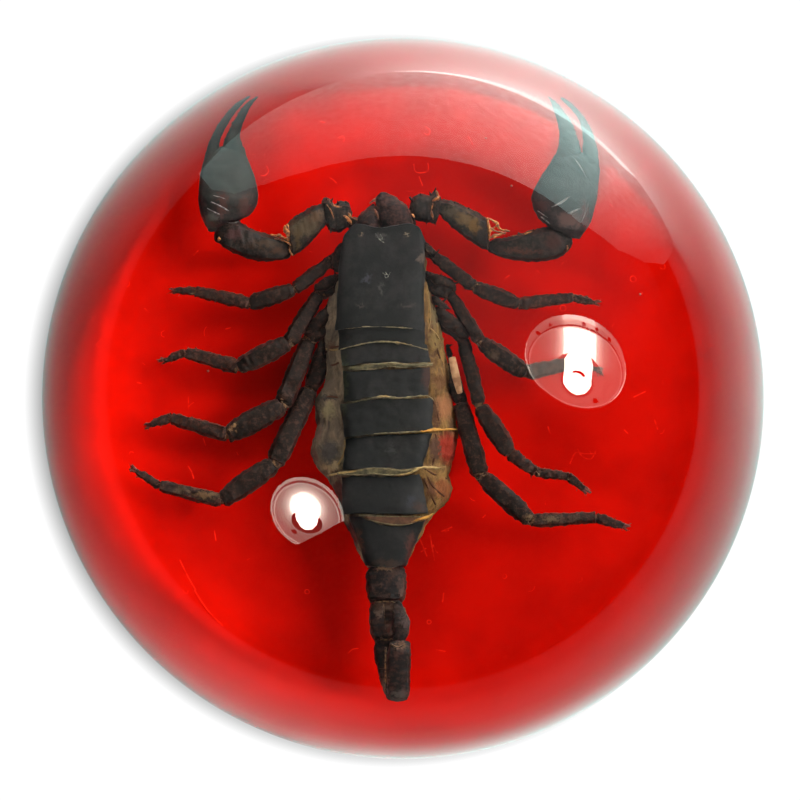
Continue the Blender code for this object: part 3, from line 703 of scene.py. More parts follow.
# Half width and half height of the pit's rim and of the scratches.
RIM_LINE = (0.035, 0.04)
SCRATCH_LINE = (0.03, 0.03)
FRONT_DROP = 0.1
EYE_BEADS = ((-4.15, 15.1, 9.6), (-4.4, 14.9, 9.55), (0.4, 15.2, 9.62), (0.62, 15.05, 9.58))
# Scratches by the front corners, where the shield is lower, and round the eye pit.
FRONT_SCRATCHES = (
    ((-2.7, 15.3), (-2.45, 14.95), (-2.3, 14.7)), ((-2.5, 14.95), (-2.15, 14.6), (-1.85, 14.4)),
    ((-2.2, 15.2), (-2.0, 14.85)), ((-2.35, 14.75), (-1.95, 14.75)),
)
PIT_SCRATCHES = (
    ((-1.95, 11.4), (-1.8, 11.25)), ((-1.25, 11.45), (-1.35, 11.25)), ((-1.7, 11.5), (-1.6, 11.3)),
)

# Clear cuticle gone cloudy with age: pale, hard and faintly shiny.
eye = mottled("cloudy_eye_cuticle", 0.25, ((0.4, "#3a3a34"), (0.62, "#868672")), Roughness=0.4,
              Specular_IOR_Level=0.3)
bm = bmesh.new()
thread(bm, circle(*EYE_RIM), EYE_LEVEL, *RIM_LINE, mat=1)
for scratches, level in ((FRONT_SCRATCHES, EYE_LEVEL - FRONT_DROP), (PIT_SCRATCHES, EYE_LEVEL)):
    for points in scratches:
        thread(bm, points, level, *SCRATCH_LINE, mat=1)
for spot in EYE_BEADS:
    made = bmesh.ops.create_uvsphere(bm, u_segments=12, v_segments=8, radius=EYE_BEAD_RADIUS,
                                     matrix=Matrix.Translation(spot))
    paint(made, 1)
make_piece("eyes", bm, (shell, eye), ["scorpion"])


# --- Scorpion: jaws -------------------------------------------------------------------
# The two small pincered jaws in front of the head shield: a broad base of red-brown cuticle
# each, the right one longer, with a short dark tooth and bristly seams.

# Sections as two edge points (x, y, x, y) across the jaw, from the head forwards.
JAWS = (
    ((-4.6, 14.8, -2.3, 14.8), (-4.5, 16.2, -2.3, 16.2), (-4.1, 17.1, -2.4, 17.2),
     (-3.6, 17.6, -2.55, 17.7), (-3.05, 17.95, -2.75, 18.0)),
    ((-2.25, 14.8, 1.1, 14.8), (-2.25, 16.2, 0.95, 16.2), (-2.5, 17.4, 0.55, 17.6),
     (-2.6, 18.1, -0.1, 18.3), (-2.65, 18.7, -0.85, 18.9), (-2.35, 19.05, -1.5, 19.15)),
)
JAW_LEVEL = 7.8
JAW_HEIGHT = 1.3
JAW_TEETH = (
    ((-2.6, 18.5, 7.8, 0.2, 0.2), (-2.85, 18.45, 7.8, 0.14, 0.15), (-3.15, 18.2, 7.7, 0.05, 0.06)),
    ((-2.75, 17.6, 8.2, 0.1, 0.15), (-2.5, 17.1, 8.6, 0.12, 0.15), (-2.35, 16.6, 8.9, 0.08, 0.1)),
)


def edged_limb(bm, rows, level, height, sides=24, steps=6, ends=(0.2, 0.2), flat=2.5, keels=(), taper=1.0):
    """A limb whose outline from above runs through rows of two edge points. Taper is the share
    of its height that is left at its far end, lost over the last half."""
    rows = resample(rows, steps)
    sections = []
    for number, (ax, ay, bx, by) in enumerate(rows):
        middle = Vector(((ax + bx) / 2, (ay + by) / 2, level))
        across = Vector(((bx - ax) / 2, (by - ay) / 2, 0))
        late = max(0.0, 2 * number / (len(rows) - 1) - 1)
        rise = min(height, across.length) * (1 + (taper - 1) * late)
        sections.append((middle, across, Vector((0, 0, rise))))
    for end, inner, length in ((0, 1, ends[0]), (-1, -2, ends[1])):
        middle, across, up = sections[end]
        way = (middle - sections[inner][0]).normalized()
        nose = []
        for reach in NOSE_RINGS:
            shrink = math.sqrt(1 - reach * reach)
            nose.append((middle + way * length * reach, across * shrink, up * shrink))
        sections = nose[::-1] + sections if end == 0 else sections + nose
    loft(bm, sections, sides, flat, keels)


# Thinner cuticle than the plates, so its brown shows: matt, its rusty edges partly painted rim light.
jaw_shell = shell_material("brown_black_cuticle", "#211715", "#402923", 0.5, 0.54, edge="#48261e")
# Horn of the teeth: tan and hard.
horn = mottled("tan_horn", 0.4, ((0.35, "#3a2420"), (0.6, "#7c4a34")), Roughness=0.5,
               Specular_IOR_Level=0.2)
bm = bmesh.new()
for rows in JAWS:
    edged_limb(bm, rows, JAW_LEVEL, JAW_HEIGHT)
for stations in JAW_TEETH:
    limb(bm, stations, sides=8, steps=4, ends=(0.05, 0.05), mat=1)
finish_skin(bm, grain=0.5, depth=0.12)
make_piece("jaws", bm, (jaw_shell, horn), ["scorpion"], sharp=60)


# --- Scorpion: arms -------------------------------------------------------------------
# Each arm has a short spiky trochanter, a femur and a patella of granular cuticle, mottled tan
# on the femurs, and torn orange hinge skin stretched across the elbow.

# Sections as two edge points (x, y, x, y) across the limb, from the body outwards.
ARMS = {
    "left": {
        "coxa": ((-3.4, 14.4, -3.0, 16.4), (-4.4, 15.0, -4.2, 16.6), (-5.2, 15.6, -5.1, 17.0)),
        "trochanter": ((-5.05, 16.0, -4.95, 17.3), (-5.4, 15.7, -5.3, 18.2), (-6.0, 15.35, -6.0, 18.35),
                       (-6.6, 15.4, -6.6, 18.1), (-7.1, 15.6, -7.2, 18.7), (-7.45, 16.3, -7.7, 18.6)),
        "femur": ((-7.45, 16.0, -7.6, 18.1), (-8.1, 15.2, -8.5, 17.95), (-8.9, 14.35, -9.5, 17.45),
                  (-9.8, 13.5, -10.4, 16.85), (-10.5, 13.05, -11.1, 16.15)),
        "patella": ((-10.9, 12.85, -11.1, 14.65), (-12.3, 12.6, -12.7, 15.1), (-13.9, 12.65, -14.5, 15.75),
                    (-15.6, 13.15, -15.9, 16.6), (-17.1, 13.9, -17.0, 16.85), (-18.2, 14.8, -17.9, 16.6)),
    },
    "right": {
        "coxa": ((-0.2, 14.4, -0.4, 16.4), (0.5, 15.0, 0.4, 16.8), (1.1, 15.8, 0.9, 17.4)),
        "trochanter": ((0.8, 16.9, 0.7, 18.0), (1.2, 16.5, 1.1, 18.8), (1.9, 16.3, 1.8, 19.0),
                       (2.5, 16.2, 2.5, 18.9), (3.1, 16.2, 3.1, 19.4), (3.45, 17.0, 3.5, 18.8)),
        "femur": ((3.5, 17.0, 3.4, 18.5), (4.3, 16.15, 4.6, 18.4), (5.5, 15.15, 6.0, 17.8),
                  (6.9, 14.1, 7.2, 17.2), (8.1, 13.55, 8.0, 16.65)),
        "patella": ((8.2, 13.4, 8.4, 14.55), (9.6, 12.85, 9.9, 14.8), (11.5, 12.55, 11.7, 15.35),
                    (13.6, 12.6, 13.3, 15.85), (15.2, 13.1, 14.8, 15.9), (16.3, 14.1, 16.1, 15.2)),
    },
}
ARM_HEIGHT = {"coxa": 1.1, "trochanter": 1.25, "femur": 1.35, "patella": 1.45}
ARM_LEVEL = 7.0
THORN_LEVEL = 7.5
THORN_ROOT = 0.3
THORN_WIDTH = 0.2
# Thorns of the trochanters and along the limb edges, as root (x, y), heading in degrees and length.
ARM_THORNS = {
    "left": ((-7.3, 18.2, 100, 0.8), (-7.0, 18.3, 60, 0.5), (-5.5, 17.9, 95, 0.5), (-6.2, 18.1, 110, 0.4),
             (-6.9, 15.8, 265, 0.5), (-7.5, 16.4, 240, 0.5), (-6.3, 15.6, 285, 0.4), (-8.9, 17.4, 110, 0.4),
             (-10.0, 16.8, 125, 0.4), (-14.8, 15.6, 100, 0.35), (-17.9, 15.0, 200, 0.4)),
    "right": ((3.0, 19.1, 75, 0.7), (2.7, 18.9, 110, 0.5), (1.7, 18.8, 100, 0.5), (1.0, 18.3, 130, 0.6),
              (0.9, 17.2, 200, 0.4), (2.3, 16.4, 260, 0.5), (3.0, 16.4, 285, 0.5), (4.9, 18.1, 70, 0.4),
              (6.2, 17.5, 60, 0.4), (11.2, 15.0, 100, 0.35), (12.6, 15.5, 80, 0.35), (16.2, 14.4, 0, 0.35)),
}
# Hinge skin and ridges: rows of (x, y, z, half width, half height).
HINGE_SKIN = {
    "left": (
        ((-11.4, 16.0, 7.9, 0.12, 0.15), (-11.3, 15.5, 8.1, 0.26, 0.2), (-11.0, 14.9, 8.1, 0.14, 0.15)),
        ((-11.2, 16.1, 7.8, 0.08, 0.12), (-11.0, 15.5, 8.1, 0.1, 0.15), (-10.7, 14.8, 8.1, 0.08, 0.12)),
        ((-12.7, 15.2, 7.8, 0.06, 0.1), (-11.9, 15.1, 8.1, 0.16, 0.15), (-11.1, 14.7, 8.1, 0.12, 0.12)),
        ((-12.3, 14.8, 8.0, 0.06, 0.1), (-11.5, 14.6, 8.2, 0.1, 0.12), (-10.9, 14.2, 8.1, 0.06, 0.1)),
        ((-11.0, 14.0, 8.2, 0.05, 0.08), (-10.9, 13.5, 8.1, 0.08, 0.1), (-10.7, 13.2, 8.0, 0.05, 0.08)),
        ((-18.0, 15.15, 8.0, 0.1, 0.12), (-18.0, 15.0, 8.1, 0.14, 0.12), (-18.0, 14.85, 8.0, 0.1, 0.12)),
        ((-7.2, 18.6, 8.0, 0.04, 0.06), (-6.6, 18.0, 8.3, 0.05, 0.08), (-6.0, 17.9, 8.3, 0.05, 0.08)),
        ((-7.5, 18.3, 8.0, 0.04, 0.06), (-7.0, 17.6, 8.4, 0.05, 0.08), (-6.7, 16.8, 8.5, 0.03, 0.06)),
        ((-5.7, 17.0, 8.3, 0.04, 0.06), (-5.3, 16.7, 8.3, 0.14, 0.12), (-5.0, 16.2, 8.1, 0.08, 0.1)),
        ((-5.3, 17.3, 8.2, 0.03, 0.05), (-4.9, 16.8, 8.2, 0.07, 0.1), (-4.5, 16.6, 8.1, 0.04, 0.06)),
    ),
    "right": (
        ((8.15, 16.65, 7.8, 0.1, 0.12), (8.3, 15.8, 8.1, 0.14, 0.15), (8.3, 14.7, 8.2, 0.1, 0.12)),
        ((8.3, 16.7, 7.7, 0.06, 0.1), (8.95, 16.35, 7.8, 0.09, 0.12), (9.4, 15.7, 7.8, 0.08, 0.1),
         (10.2, 15.5, 7.8, 0.06, 0.1)),
        ((8.3, 15.9, 8.0, 0.05, 0.08), (8.9, 15.5, 8.0, 0.08, 0.1), (9.5, 15.4, 8.0, 0.06, 0.08)),
        ((8.3, 14.8, 8.2, 0.1, 0.12), (9.1, 15.1, 8.1, 0.14, 0.12), (9.9, 15.35, 8.0, 0.07, 0.1)),
        ((8.25, 15.3, 8.1, 0.05, 0.08), (8.7, 15.8, 8.0, 0.07, 0.1), (9.1, 16.1, 7.9, 0.04, 0.06)),
        ((10.4, 15.1, 8.2, 0.05, 0.08), (11.4, 15.2, 8.3, 0.06, 0.08), (12.4, 15.5, 8.2, 0.04, 0.06)),
        ((16.0, 14.15, 8.1, 0.1, 0.12), (16.0, 14.0, 8.1, 0.14, 0.12), (16.0, 13.85, 8.1, 0.1, 0.12)),
        ((3.25, 19.3, 7.8, 0.08, 0.1), (3.4, 18.8, 8.1, 0.16, 0.12), (2.9, 18.5, 8.3, 0.07, 0.1)),
        ((2.9, 18.2, 8.3, 0.04, 0.06), (2.75, 17.4, 8.5, 0.05, 0.08), (2.9, 16.6, 8.3, 0.03, 0.06)),
        ((0.85, 17.15, 8.3, 0.1, 0.12), (0.95, 16.95, 8.4, 0.15, 0.14), (1.1, 16.8, 8.3, 0.1, 0.12)),
    ),
}
# Worn tan mottling on the femurs and rust on the patellae, as stains.
ARM_STAINS = (
    (-9.6, 15.9, 1.4, 0.9, "#443829"), (-8.4, 16.9, 0.7, 0.6, "#4a3728"),
    (-10.2, 14.6, 0.3, 1.1, "#443522"), (-13.5, 14.4, 1.6, 0.3, "#34261a"),
    (-16.6, 15.4, 0.8, 0.5, "#3a2422"), (-12.2, 13.6, 0.7, 0.3, "#3a261a"),
    (4.6, 17.4, 0.7, 0.5, "#40362a"), (5.9, 16.7, 0.8, 0.7, "#4e3d28"), (6.9, 16.0, 0.5, 0.8, "#563f22"),
    (7.75, 14.9, 0.3, 1.4, "#231d1b"), (11.5, 13.6, 2.2, 0.2, "#46281e"), (14.6, 14.6, 0.8, 0.8, "#38221d"),
)

# Granular cuticle of the arms: rubbed tan in patches, dull where the resin wets it.
arm_shell = shell_material("granular_arm_cuticle", "#1c1917", "#342923", 0.45, 0.54, edge="#341d17",
                           stains=ARM_STAINS)
# Hinge skin: thin orange fibres, torn open and shiny; its pale yellow specks are painted glints of air
# films.
hinge_skin_and_glint = mottled("orange_hinge_skin_and_painted_glints", 0.4, ((0.4, "#4a2818"), (0.52, "#85481f"), (0.68, "#c48e45")),
                detail=5.0, contrast=0.7, Roughness=0.4, Specular_IOR_Level=0.3)


def spike(bm, start, way, length, width, mat=0):
    """A thin pointed thorn or bristle."""
    turn = way.to_track_quat("Z", "Y").to_matrix().to_4x4()
    spot = Matrix.Translation(start + way * length / 2)
    made = bmesh.ops.create_cone(bm, cap_ends=True, segments=5, radius1=width, radius2=width * 0.15,
                                 depth=length, matrix=spot @ turn)
    paint(made, mat)


for side, segments in ARMS.items():
    bm = bmesh.new()
    for segment, rows in segments.items():
        edged_limb(bm, rows, ARM_LEVEL, ARM_HEIGHT[segment], sides=28, steps=8, keels=(54, 126))
    for x, y, heading, length in ARM_THORNS[side]:
        way = Vector((math.cos(math.radians(heading)), math.sin(math.radians(heading)), 0.2)).normalized()
        root = Vector((x, y, THORN_LEVEL)) - way * THORN_ROOT
        spike(bm, root, way, length + THORN_ROOT, THORN_WIDTH)
    for stations in HINGE_SKIN[side]:
        limb(bm, stations, sides=8, steps=5, ends=(0.1, 0.1), mat=1)
    finish_skin(bm, grain=0.45, depth=0.13)
    make_piece(f"arm_{side}", bm, (arm_shell, hinge_skin_and_glint), ["scorpion"], sharp=50)


# --- Scorpion: hands ------------------------------------------------------------------
# Broad flattened palms of smooth cuticle with low finger-like ridges, and two curved fingers
# each, toothed where they meet. The outer finger moves on the real animal.

# Sections as two edge points (x, y, x, y) across the palm or finger, from the wrist outwards.
HANDS = {
    "left": {
        "palm": ((-19.0, 15.9, -17.2, 16.0), (-19.5, 16.8, -15.9, 16.7), (-19.9, 17.9, -14.6, 17.4),
                 (-20.15, 19.3, -14.05, 19.0), (-20.2, 21.2, -14.5, 21.3), (-20.1, 23.0, -15.3, 23.1),
                 (-19.9, 24.4, -15.8, 24.5)),
        "outer": ((-20.0, 23.6, -18.4, 23.6), (-19.85, 25.0, -18.5, 25.0), (-19.55, 26.4, -18.4, 26.2),
                  (-19.1, 27.9, -18.0, 27.6), (-18.4, 29.4, -17.5, 28.9), (-17.5, 30.7, -16.9, 30.1),
                  (-16.3, 31.4, -16.1, 31.1)),
        "inner": ((-18.3, 23.6, -15.6, 23.7), (-18.1, 24.9, -16.0, 24.8), (-17.95, 25.8, -16.35, 26.0),
                  (-17.5, 27.3, -16.25, 27.4), (-17.0, 28.7, -15.95, 28.9), (-16.45, 30.0, -15.5, 30.1),
                  (-15.5, 31.0, -15.1, 30.9)),
    },
    "right": {
        "palm": ((15.0, 15.5, 17.1, 15.0), (13.6, 16.3, 17.9, 16.0), (12.7, 17.4, 18.5, 17.4),
                 (12.4, 18.7, 19.0, 19.0), (12.9, 20.2, 19.3, 20.6), (13.9, 21.8, 19.55, 22.2),
                 (14.9, 23.5, 19.6, 23.8)),
        "outer": ((17.9, 23.0, 19.6, 23.2), (18.05, 24.6, 19.6, 24.8), (18.2, 25.9, 19.5, 26.4),
                  (18.3, 27.2, 19.2, 27.9), (18.0, 28.9, 18.6, 29.4), (17.3, 30.1, 17.8, 30.6),
                  (16.6, 31.0, 16.9, 31.3)),
        "inner": ((14.7, 22.8, 17.9, 22.8), (15.25, 24.2, 17.75, 24.1), (15.6, 25.5, 17.6, 25.5),
                  (15.65, 27.0, 17.35, 26.9), (15.5, 28.7, 16.9, 28.4), (15.3, 30.1, 16.2, 29.8),
                  (15.1, 30.9, 15.4, 30.8)),
    },
}
HAND_LEVEL = 6.6
PALM_HEIGHT = 2.0
FINGER_HEIGHT = 0.85
TOOTH_COUNT = 9
TOOTH_RADIUS = 0.13
# Parts of the inner finger's edge at its first and last tooth.
TOOTH_PARTS = (0.32, 0.92)
# Low ridges over the palms, their silvery colour a painted glint: rows of (x, y, z, half width, half
# height).
PALM_RIDGES_PAINTED_GLINT = {
    "left": (
        ((-19.0, 18.9, 8.2, 0.06, 0.1), (-18.2, 18.5, 8.5, 0.08, 0.1), (-17.4, 18.0, 8.6, 0.05, 0.08)),
        ((-19.3, 18.2, 8.0, 0.05, 0.08), (-18.4, 17.7, 8.4, 0.08, 0.1), (-17.6, 17.4, 8.4, 0.05, 0.08)),
        ((-17.7, 16.9, 8.2, 0.05, 0.08), (-16.8, 16.6, 8.2, 0.08, 0.1), (-16.0, 16.7, 8.0, 0.05, 0.08)),
        ((-18.8, 19.6, 8.3, 0.03, 0.05), (-17.9, 19.3, 8.5, 0.04, 0.06), (-17.2, 18.9, 8.5, 0.03, 0.05)),
    ),
    "right": (
        ((14.7, 18.2, 8.5, 0.08, 0.08), (15.6, 18.7, 8.6, 0.12, 0.1), (16.4, 19.3, 8.6, 0.05, 0.08)),
        ((15.6, 17.2, 8.4, 0.05, 0.08), (16.5, 17.7, 8.5, 0.12, 0.1), (17.4, 18.1, 8.4, 0.06, 0.08)),
        ((13.5, 17.0, 8.0, 0.06, 0.08), (14.6, 16.3, 8.2, 0.12, 0.1), (15.8, 15.9, 8.2, 0.15, 0.1),
         (17.0, 15.8, 8.0, 0.08, 0.08)),
        ((13.2, 17.6, 8.0, 0.04, 0.06), (14.4, 16.9, 8.3, 0.05, 0.08), (15.6, 16.5, 8.3, 0.04, 0.06)),
        ((18.5, 19.4, 7.7, 0.03, 0.05), (18.0, 17.8, 8.0, 0.05, 0.06), (17.3, 16.2, 8.0, 0.04, 0.05)),
    ),
}
# A pale scratch runs down from the fork of the right hand, drawn in the painted glint colour.
SCRATCH_RISE = 1.2
HAND_SCRATCH = ((17.3, 23.4), (17.9, 22.4), (18.3, 21.5))
HAND_STAINS = (
    (-17.3, 23.6, 3.2, 4.8, "#3a3c38"), (16.8, 23.4, 3.4, 4.6, "#353634"),
    (-17.9, 18.7, 0.5, 1.4, "#48302b"), (-15.6, 18.3, 0.6, 1.2, "#44302b"),
    (-14.8, 17.6, 0.5, 0.6, "#442524"), (-18.9, 16.9, 0.7, 0.9, "#43403a"),
    (13.6, 18.3, 0.8, 0.6, "#45302d"), (16.4, 17.0, 1.2, 0.8, "#4d3a35"), (17.9, 17.2, 0.3, 1.8, "#4a2a28"),
)

# Smooth cuticle of the hands: thick, near black, dull in the resin, worn brown on its swellings.
hand_shell = shell_material("smooth_hand_cuticle", "#272423", "#3a2f2c", 0.7, 0.56, edge="#2e1f1e",
                             stains=HAND_STAINS, bumpy=0.02)
# A painted glint: pale silvery colour where air gaps between hand and resin catch the light, with low
# roughness.
silvery_painted_glint = mottled("silvery_painted_glint_cuticle", 0.4, ((0.42, "#3c3533"), (0.62, "#8a817a")), detail=5.0,
                  Roughness=0.3, Specular_IOR_Level=0.6)
for side, parts in HANDS.items():
    bm = bmesh.new()
    edged_limb(bm, parts["palm"], HAND_LEVEL, PALM_HEIGHT, sides=44, steps=8, ends=(0.3, 0.4), flat=2.2,
               taper=0.45)
    for finger in ("outer", "inner"):
        edged_limb(bm, parts[finger], HAND_LEVEL, FINGER_HEIGHT, sides=18, steps=8, ends=(0.2, 0.15),
                   flat=2.3)
    facing_outer = slice(0, 2) if side == "left" else slice(2, 4)
    edge = [row[facing_outer] for row in parts["inner"]]
    for number in range(TOOTH_COUNT):
        first, last = TOOTH_PARTS
        tooth = edge_point(edge, first + (last - first) * number / (TOOTH_COUNT - 1))
        ball(bm, (*tooth, HAND_LEVEL), (TOOTH_RADIUS,) * 3, fine=2)
    finish_skin(bm, grain=0.9, depth=0.08)
    for stations in PALM_RIDGES_PAINTED_GLINT[side]:
        limb(bm, stations, sides=8, steps=6, ends=(0.15, 0.15), mat=1)
    if side == "right":
        thread(bm, HAND_SCRATCH, HAND_LEVEL + SCRATCH_RISE, width=0.04, height=0.3, mat=1, steps=6)
    bmesh.ops.recalc_face_normals(bm, faces=bm.faces)
    make_piece(f"hand_{side}", bm, (hand_shell, silvery_painted_glint), ["scorpion"], sharp=50)


# --- Scorpion: legs -------------------------------------------------------------------
# Eight walking legs of red-brown black cuticle. Each has a trochanter, femur, patella, a shin
# that runs straight into the first foot segment, and a foot frayed into claws and bristles.

# Joints (x, y) from the hip to the toe, then the half width of each segment between them.
LEGS = {
    "left": (
        (((-5.2, 13.0), (-6.9, 12.5), (-10.4, 9.8), (-14.7, 8.5), (-20.0, 9.8), (-22.3, 9.9)),
         (0.75, 0.63, 0.84, 0.56, 0.32)),
        (((-5.8, 10.6), (-8.0, 9.3), (-10.9, 4.7), (-15.8, 2.4), (-20.9, 3.9), (-23.3, 3.0)),
         (0.85, 0.74, 0.99, 0.6, 0.34)),
        (((-6.8, 7.0), (-8.9, 5.0), (-11.5, -1.3), (-16.9, -4.1), (-22.4, -2.4), (-25.0, -3.2)),
         (0.95, 0.9, 1.14, 0.64, 0.36)),
        (((-7.5, 3.3), (-8.8, 0.3), (-12.3, -6.9), (-17.6, -10.5), (-23.8, -9.0), (-26.7, -7.2)),
         (0.9, 1.0, 1.07, 0.6, 0.34)),
    ),
    "right": (
        (((1.6, 13.9), (2.9, 13.0), (6.8, 10.0), (11.0, 8.4), (16.2, 9.1), (18.7, 8.5)),
         (0.6, 0.62, 0.78, 0.54, 0.32)),
        (((2.3, 10.6), (4.4, 9.4), (7.4, 4.7), (11.7, 1.8), (16.2, 2.9), (18.9, 2.1)),
         (0.95, 0.6, 0.92, 0.64, 0.34)),
        (((3.5, 7.1), (5.6, 5.3), (7.3, -1.3), (10.2, -5.9), (12.6, -7.6), (15.8, -8.0), (17.6, -9.4)),
         (0.85, 0.66, 0.94, 0.54, 0.42, 0.32)),
        (((4.4, 2.0), (5.4, -1.0), (7.4, -8.0), (12.3, -12.4), (18.7, -12.0), (22.0, -13.1)),
         (0.7, 0.88, 0.95, 0.58, 0.38)),
    ),
}
# Levels of the joints; the third right leg shows one more joint, in its shin.
LEG_LEVELS = (6.4, 6.7, 7.6, 7.1, 5.8, 5.0)
SHIN_JOINT_LEVEL = 6.4
# Part of the segment's length and share of its half width there, for each kind of segment.
LEG_PROFILES = {
    "trochanter": ((-0.2, 0.75), (0.1, 0.95), (0.45, 1.0), (0.8, 0.85), (1.0, 0.7)),
    "femur": ((0.02, 0.72), (0.08, 0.86), (0.3, 0.96), (0.65, 1.02), (0.9, 1.0), (0.98, 0.85)),
    "patella": ((0.02, 0.6), (0.08, 0.78), (0.28, 0.95), (0.55, 1.0), (0.8, 0.92), (0.93, 0.75),
                (0.99, 0.62)),
    "shin": ((0.01, 0.95), (0.08, 1.12), (0.3, 1.15), (0.55, 1.06), (0.8, 0.97), (0.97, 0.88)),
    "foot": ((0.0, 1.0), (0.15, 1.25), (0.5, 1.1), (0.78, 0.7)),
}
SEGMENTS = {
    5: ("trochanter", "femur", "patella", "shin", "foot"),
    6: ("trochanter", "femur", "patella", "shin", "shin", "foot"),
}
# Jagged pieces beside the body, where the hips of the legs are crumpled: stations (x, y, z,
# half width, half height), each with a spike as long and wide as SCRAP_SPIKE says.
HIP_SCRAPS = {
    "left": (
        ((-5.9, 14.0, 6.6, 0.2, 0.3), (-6.3, 12.8, 7.0, 0.5, 0.6), (-6.2, 11.6, 6.8, 0.35, 0.5)),
        ((-6.3, 10.9, 6.6, 0.3, 0.4), (-7.3, 10.3, 7.2, 0.6, 0.7), (-8.3, 9.8, 7.0, 0.3, 0.4)),
        ((-6.9, 8.0, 6.4, 0.4, 0.4), (-7.8, 6.8, 7.2, 0.7, 0.7), (-9.1, 5.8, 7.0, 0.35, 0.4)),
        ((-7.5, 4.9, 6.4, 0.35, 0.4), (-7.9, 3.6, 7.0, 0.5, 0.6), (-8.4, 2.0, 6.8, 0.6, 0.6),
         (-8.9, 0.6, 6.6, 0.3, 0.4)),
    ),
    "right": (
        ((1.8, 14.3, 6.8, 0.3, 0.3), (2.4, 13.6, 7.2, 0.35, 0.4), (3.1, 13.1, 7.2, 0.3, 0.3)),
        ((2.5, 11.0, 7.0, 0.3, 0.4), (3.4, 10.7, 7.4, 0.5, 0.5), (4.5, 10.3, 7.2, 0.4, 0.4),
         (4.9, 9.7, 7.0, 0.2, 0.3)),
        ((2.8, 8.9, 7.0, 0.25, 0.3), (3.5, 8.4, 7.3, 0.35, 0.4), (4.1, 8.0, 7.2, 0.2, 0.2)),
        ((3.3, 7.9, 6.8, 0.3, 0.4), (4.0, 7.0, 7.3, 0.7, 0.6), (5.2, 6.1, 7.2, 0.6, 0.6),
         (6.1, 5.3, 7.0, 0.35, 0.4)),
        ((4.2, 4.3, 6.2, 0.2, 0.3), (4.6, 2.6, 6.6, 0.28, 0.4), (5.2, 0.6, 6.6, 0.45, 0.5),
         (5.7, -1.0, 6.8, 0.4, 0.4)),
    ),
}
# The bare pinkish-white edge of a hip plate between the right side skin and the last leg.
HIP_SLIVER = (
    (4.65, 3.2, 7.5, 0.34, 0.12), (4.87, 2.2, 7.75, 0.37, 0.15), (5.12, 1.1, 7.8, 0.37, 0.15),
    (5.4, -0.1, 7.6, 0.27, 0.12),
)
LEG_STAINS = (
    (-19.2, -10.0, 1.2, 0.3, "#54412a"), (-21.6, -9.5, 0.8, 0.25, "#453526"),
    (-13.4, -6.3, 0.6, 0.25, "#503a2a"), (14.4, -12.3, 0.8, 0.3, "#54422e"),
    (11.6, 0.2, 0.3, 0.3, "#443024"), (8.6, 3.4, 0.6, 0.4, "#403024"), (2.2, 12.8, 0.35, 0.6, "#6e5a48"),
    (-16.5, -3.5, 0.35, 0.2, "#8a6644"), (-11.2, -0.4, 0.5, 0.2, "#4c3830"),
    (12.2, -12.2, 0.4, 0.3, "#664e34"), (7.3, -8.2, 0.3, 0.3, "#5b4434"),
    (16.7, -12.1, 0.5, 0.2, "#44342a"),
)
CLAW_LENGTH = 0.95
TOE_BRISTLES = 10
SEGMENT_BRISTLES = {"shin": 10, "foot": 12}
BRISTLE_WIDTH = 0.04
TUFT_WIDTH = 0.08
LEG_FLATNESS = 0.95
JOINT_SHARE = 0.66
FLECKS = 3
# Part of the foot at which it ends in claws, and how far they spread.
HEEL_PART = 0.72
CLAW_SPREAD = 0.2
SCRAP_SPIKE = (0.35, 0.16)

# Leg cuticle: thin, so red-brown shows in specks and along its edges, these partly painted rim light.
leg_shell = shell_material("black_leg_cuticle", "#19130f", "#3e281f", 0.4, 0.57, edge="#43201a",
                           stains=LEG_STAINS)
# The shins and feet are thinner still, and red-brown.
shin_shell = shell_material("red_brown_shin_cuticle", "#1e1410", "#482b20", 0.4, 0.55, edge="#522218",
                            stains=LEG_STAINS)
# Skin and rubbed edges at the joints: tan, matt, in torn flecks.
leg_joint = mottled("tan_joint_skin", 0.3, ((0.42, "#2c1d18"), (0.62, "#785a3c")), Roughness=0.6,
                    Specular_IOR_Level=0.15)
# Bristles and claws: thin horn, red-brown where it is too thin to look black.
bristle = new_material("red_brown_bristle", Base_Color=linear("#5c2517"), Roughness=0.5,
                       Specular_IOR_Level=0.2)
# Bare inner skin of the split hip plate: pinkish white, matt.
sliver_skin = mottled("pinkish_inner_skin", 0.7, ((0.35, "#7c553a"), (0.6, "#a87f5c")), Roughness=0.7,
                      Specular_IOR_Level=0.1)


def leg_segment(bm, rng, start, end, half, kind):
    """One segment of a leg, with bristles along it where it is a shin or a foot."""
    stations = [(*start.lerp(end, part), half * share, half * share * LEG_FLATNESS)
                for part, share in LEG_PROFILES[kind]]
    limb(bm, stations, sides=20, steps=7, ends=(0.08, 0.08), flat=2.6, keels=(54, 126),
         mat=3 if kind in SEGMENT_BRISTLES else 0)
    along = (end - start).normalized()
    aside = along.cross(UP).normalized()
    for _ in range(SEGMENT_BRISTLES.get(kind, 0)):
        root = start.lerp(end, rng.uniform(0.1, 0.95))
        way = along * 0.8 + aside * rng.choice((-1, 1)) * rng.uniform(0.3, 1.0)
        spike(bm, root, way.normalized(), half + rng.uniform(0.15, 0.45), BRISTLE_WIDTH, mat=2)


def joint_skin(bm, rng, joint, half):
    """The ball of a joint, with torn flecks of skin over it."""
    ball(bm, joint, (half,) * 3, mat=1)
    for _ in range(FLECKS):
        spot = joint + Vector((rng.uniform(-0.7, 0.7), rng.uniform(-0.7, 0.7), 0)) * half * 1.6
        turn = rng.uniform(0, math.pi)
        reach = Vector((math.cos(turn), math.sin(turn), 0)) * rng.uniform(0.05, 0.22)
        level = spot.z + half * rng.uniform(0.9, 1.25)
        width = rng.uniform(0.03, 0.07)
        thread(bm, ((spot - reach).xy, (spot + reach).xy), level, width, 0.08, mat=1)


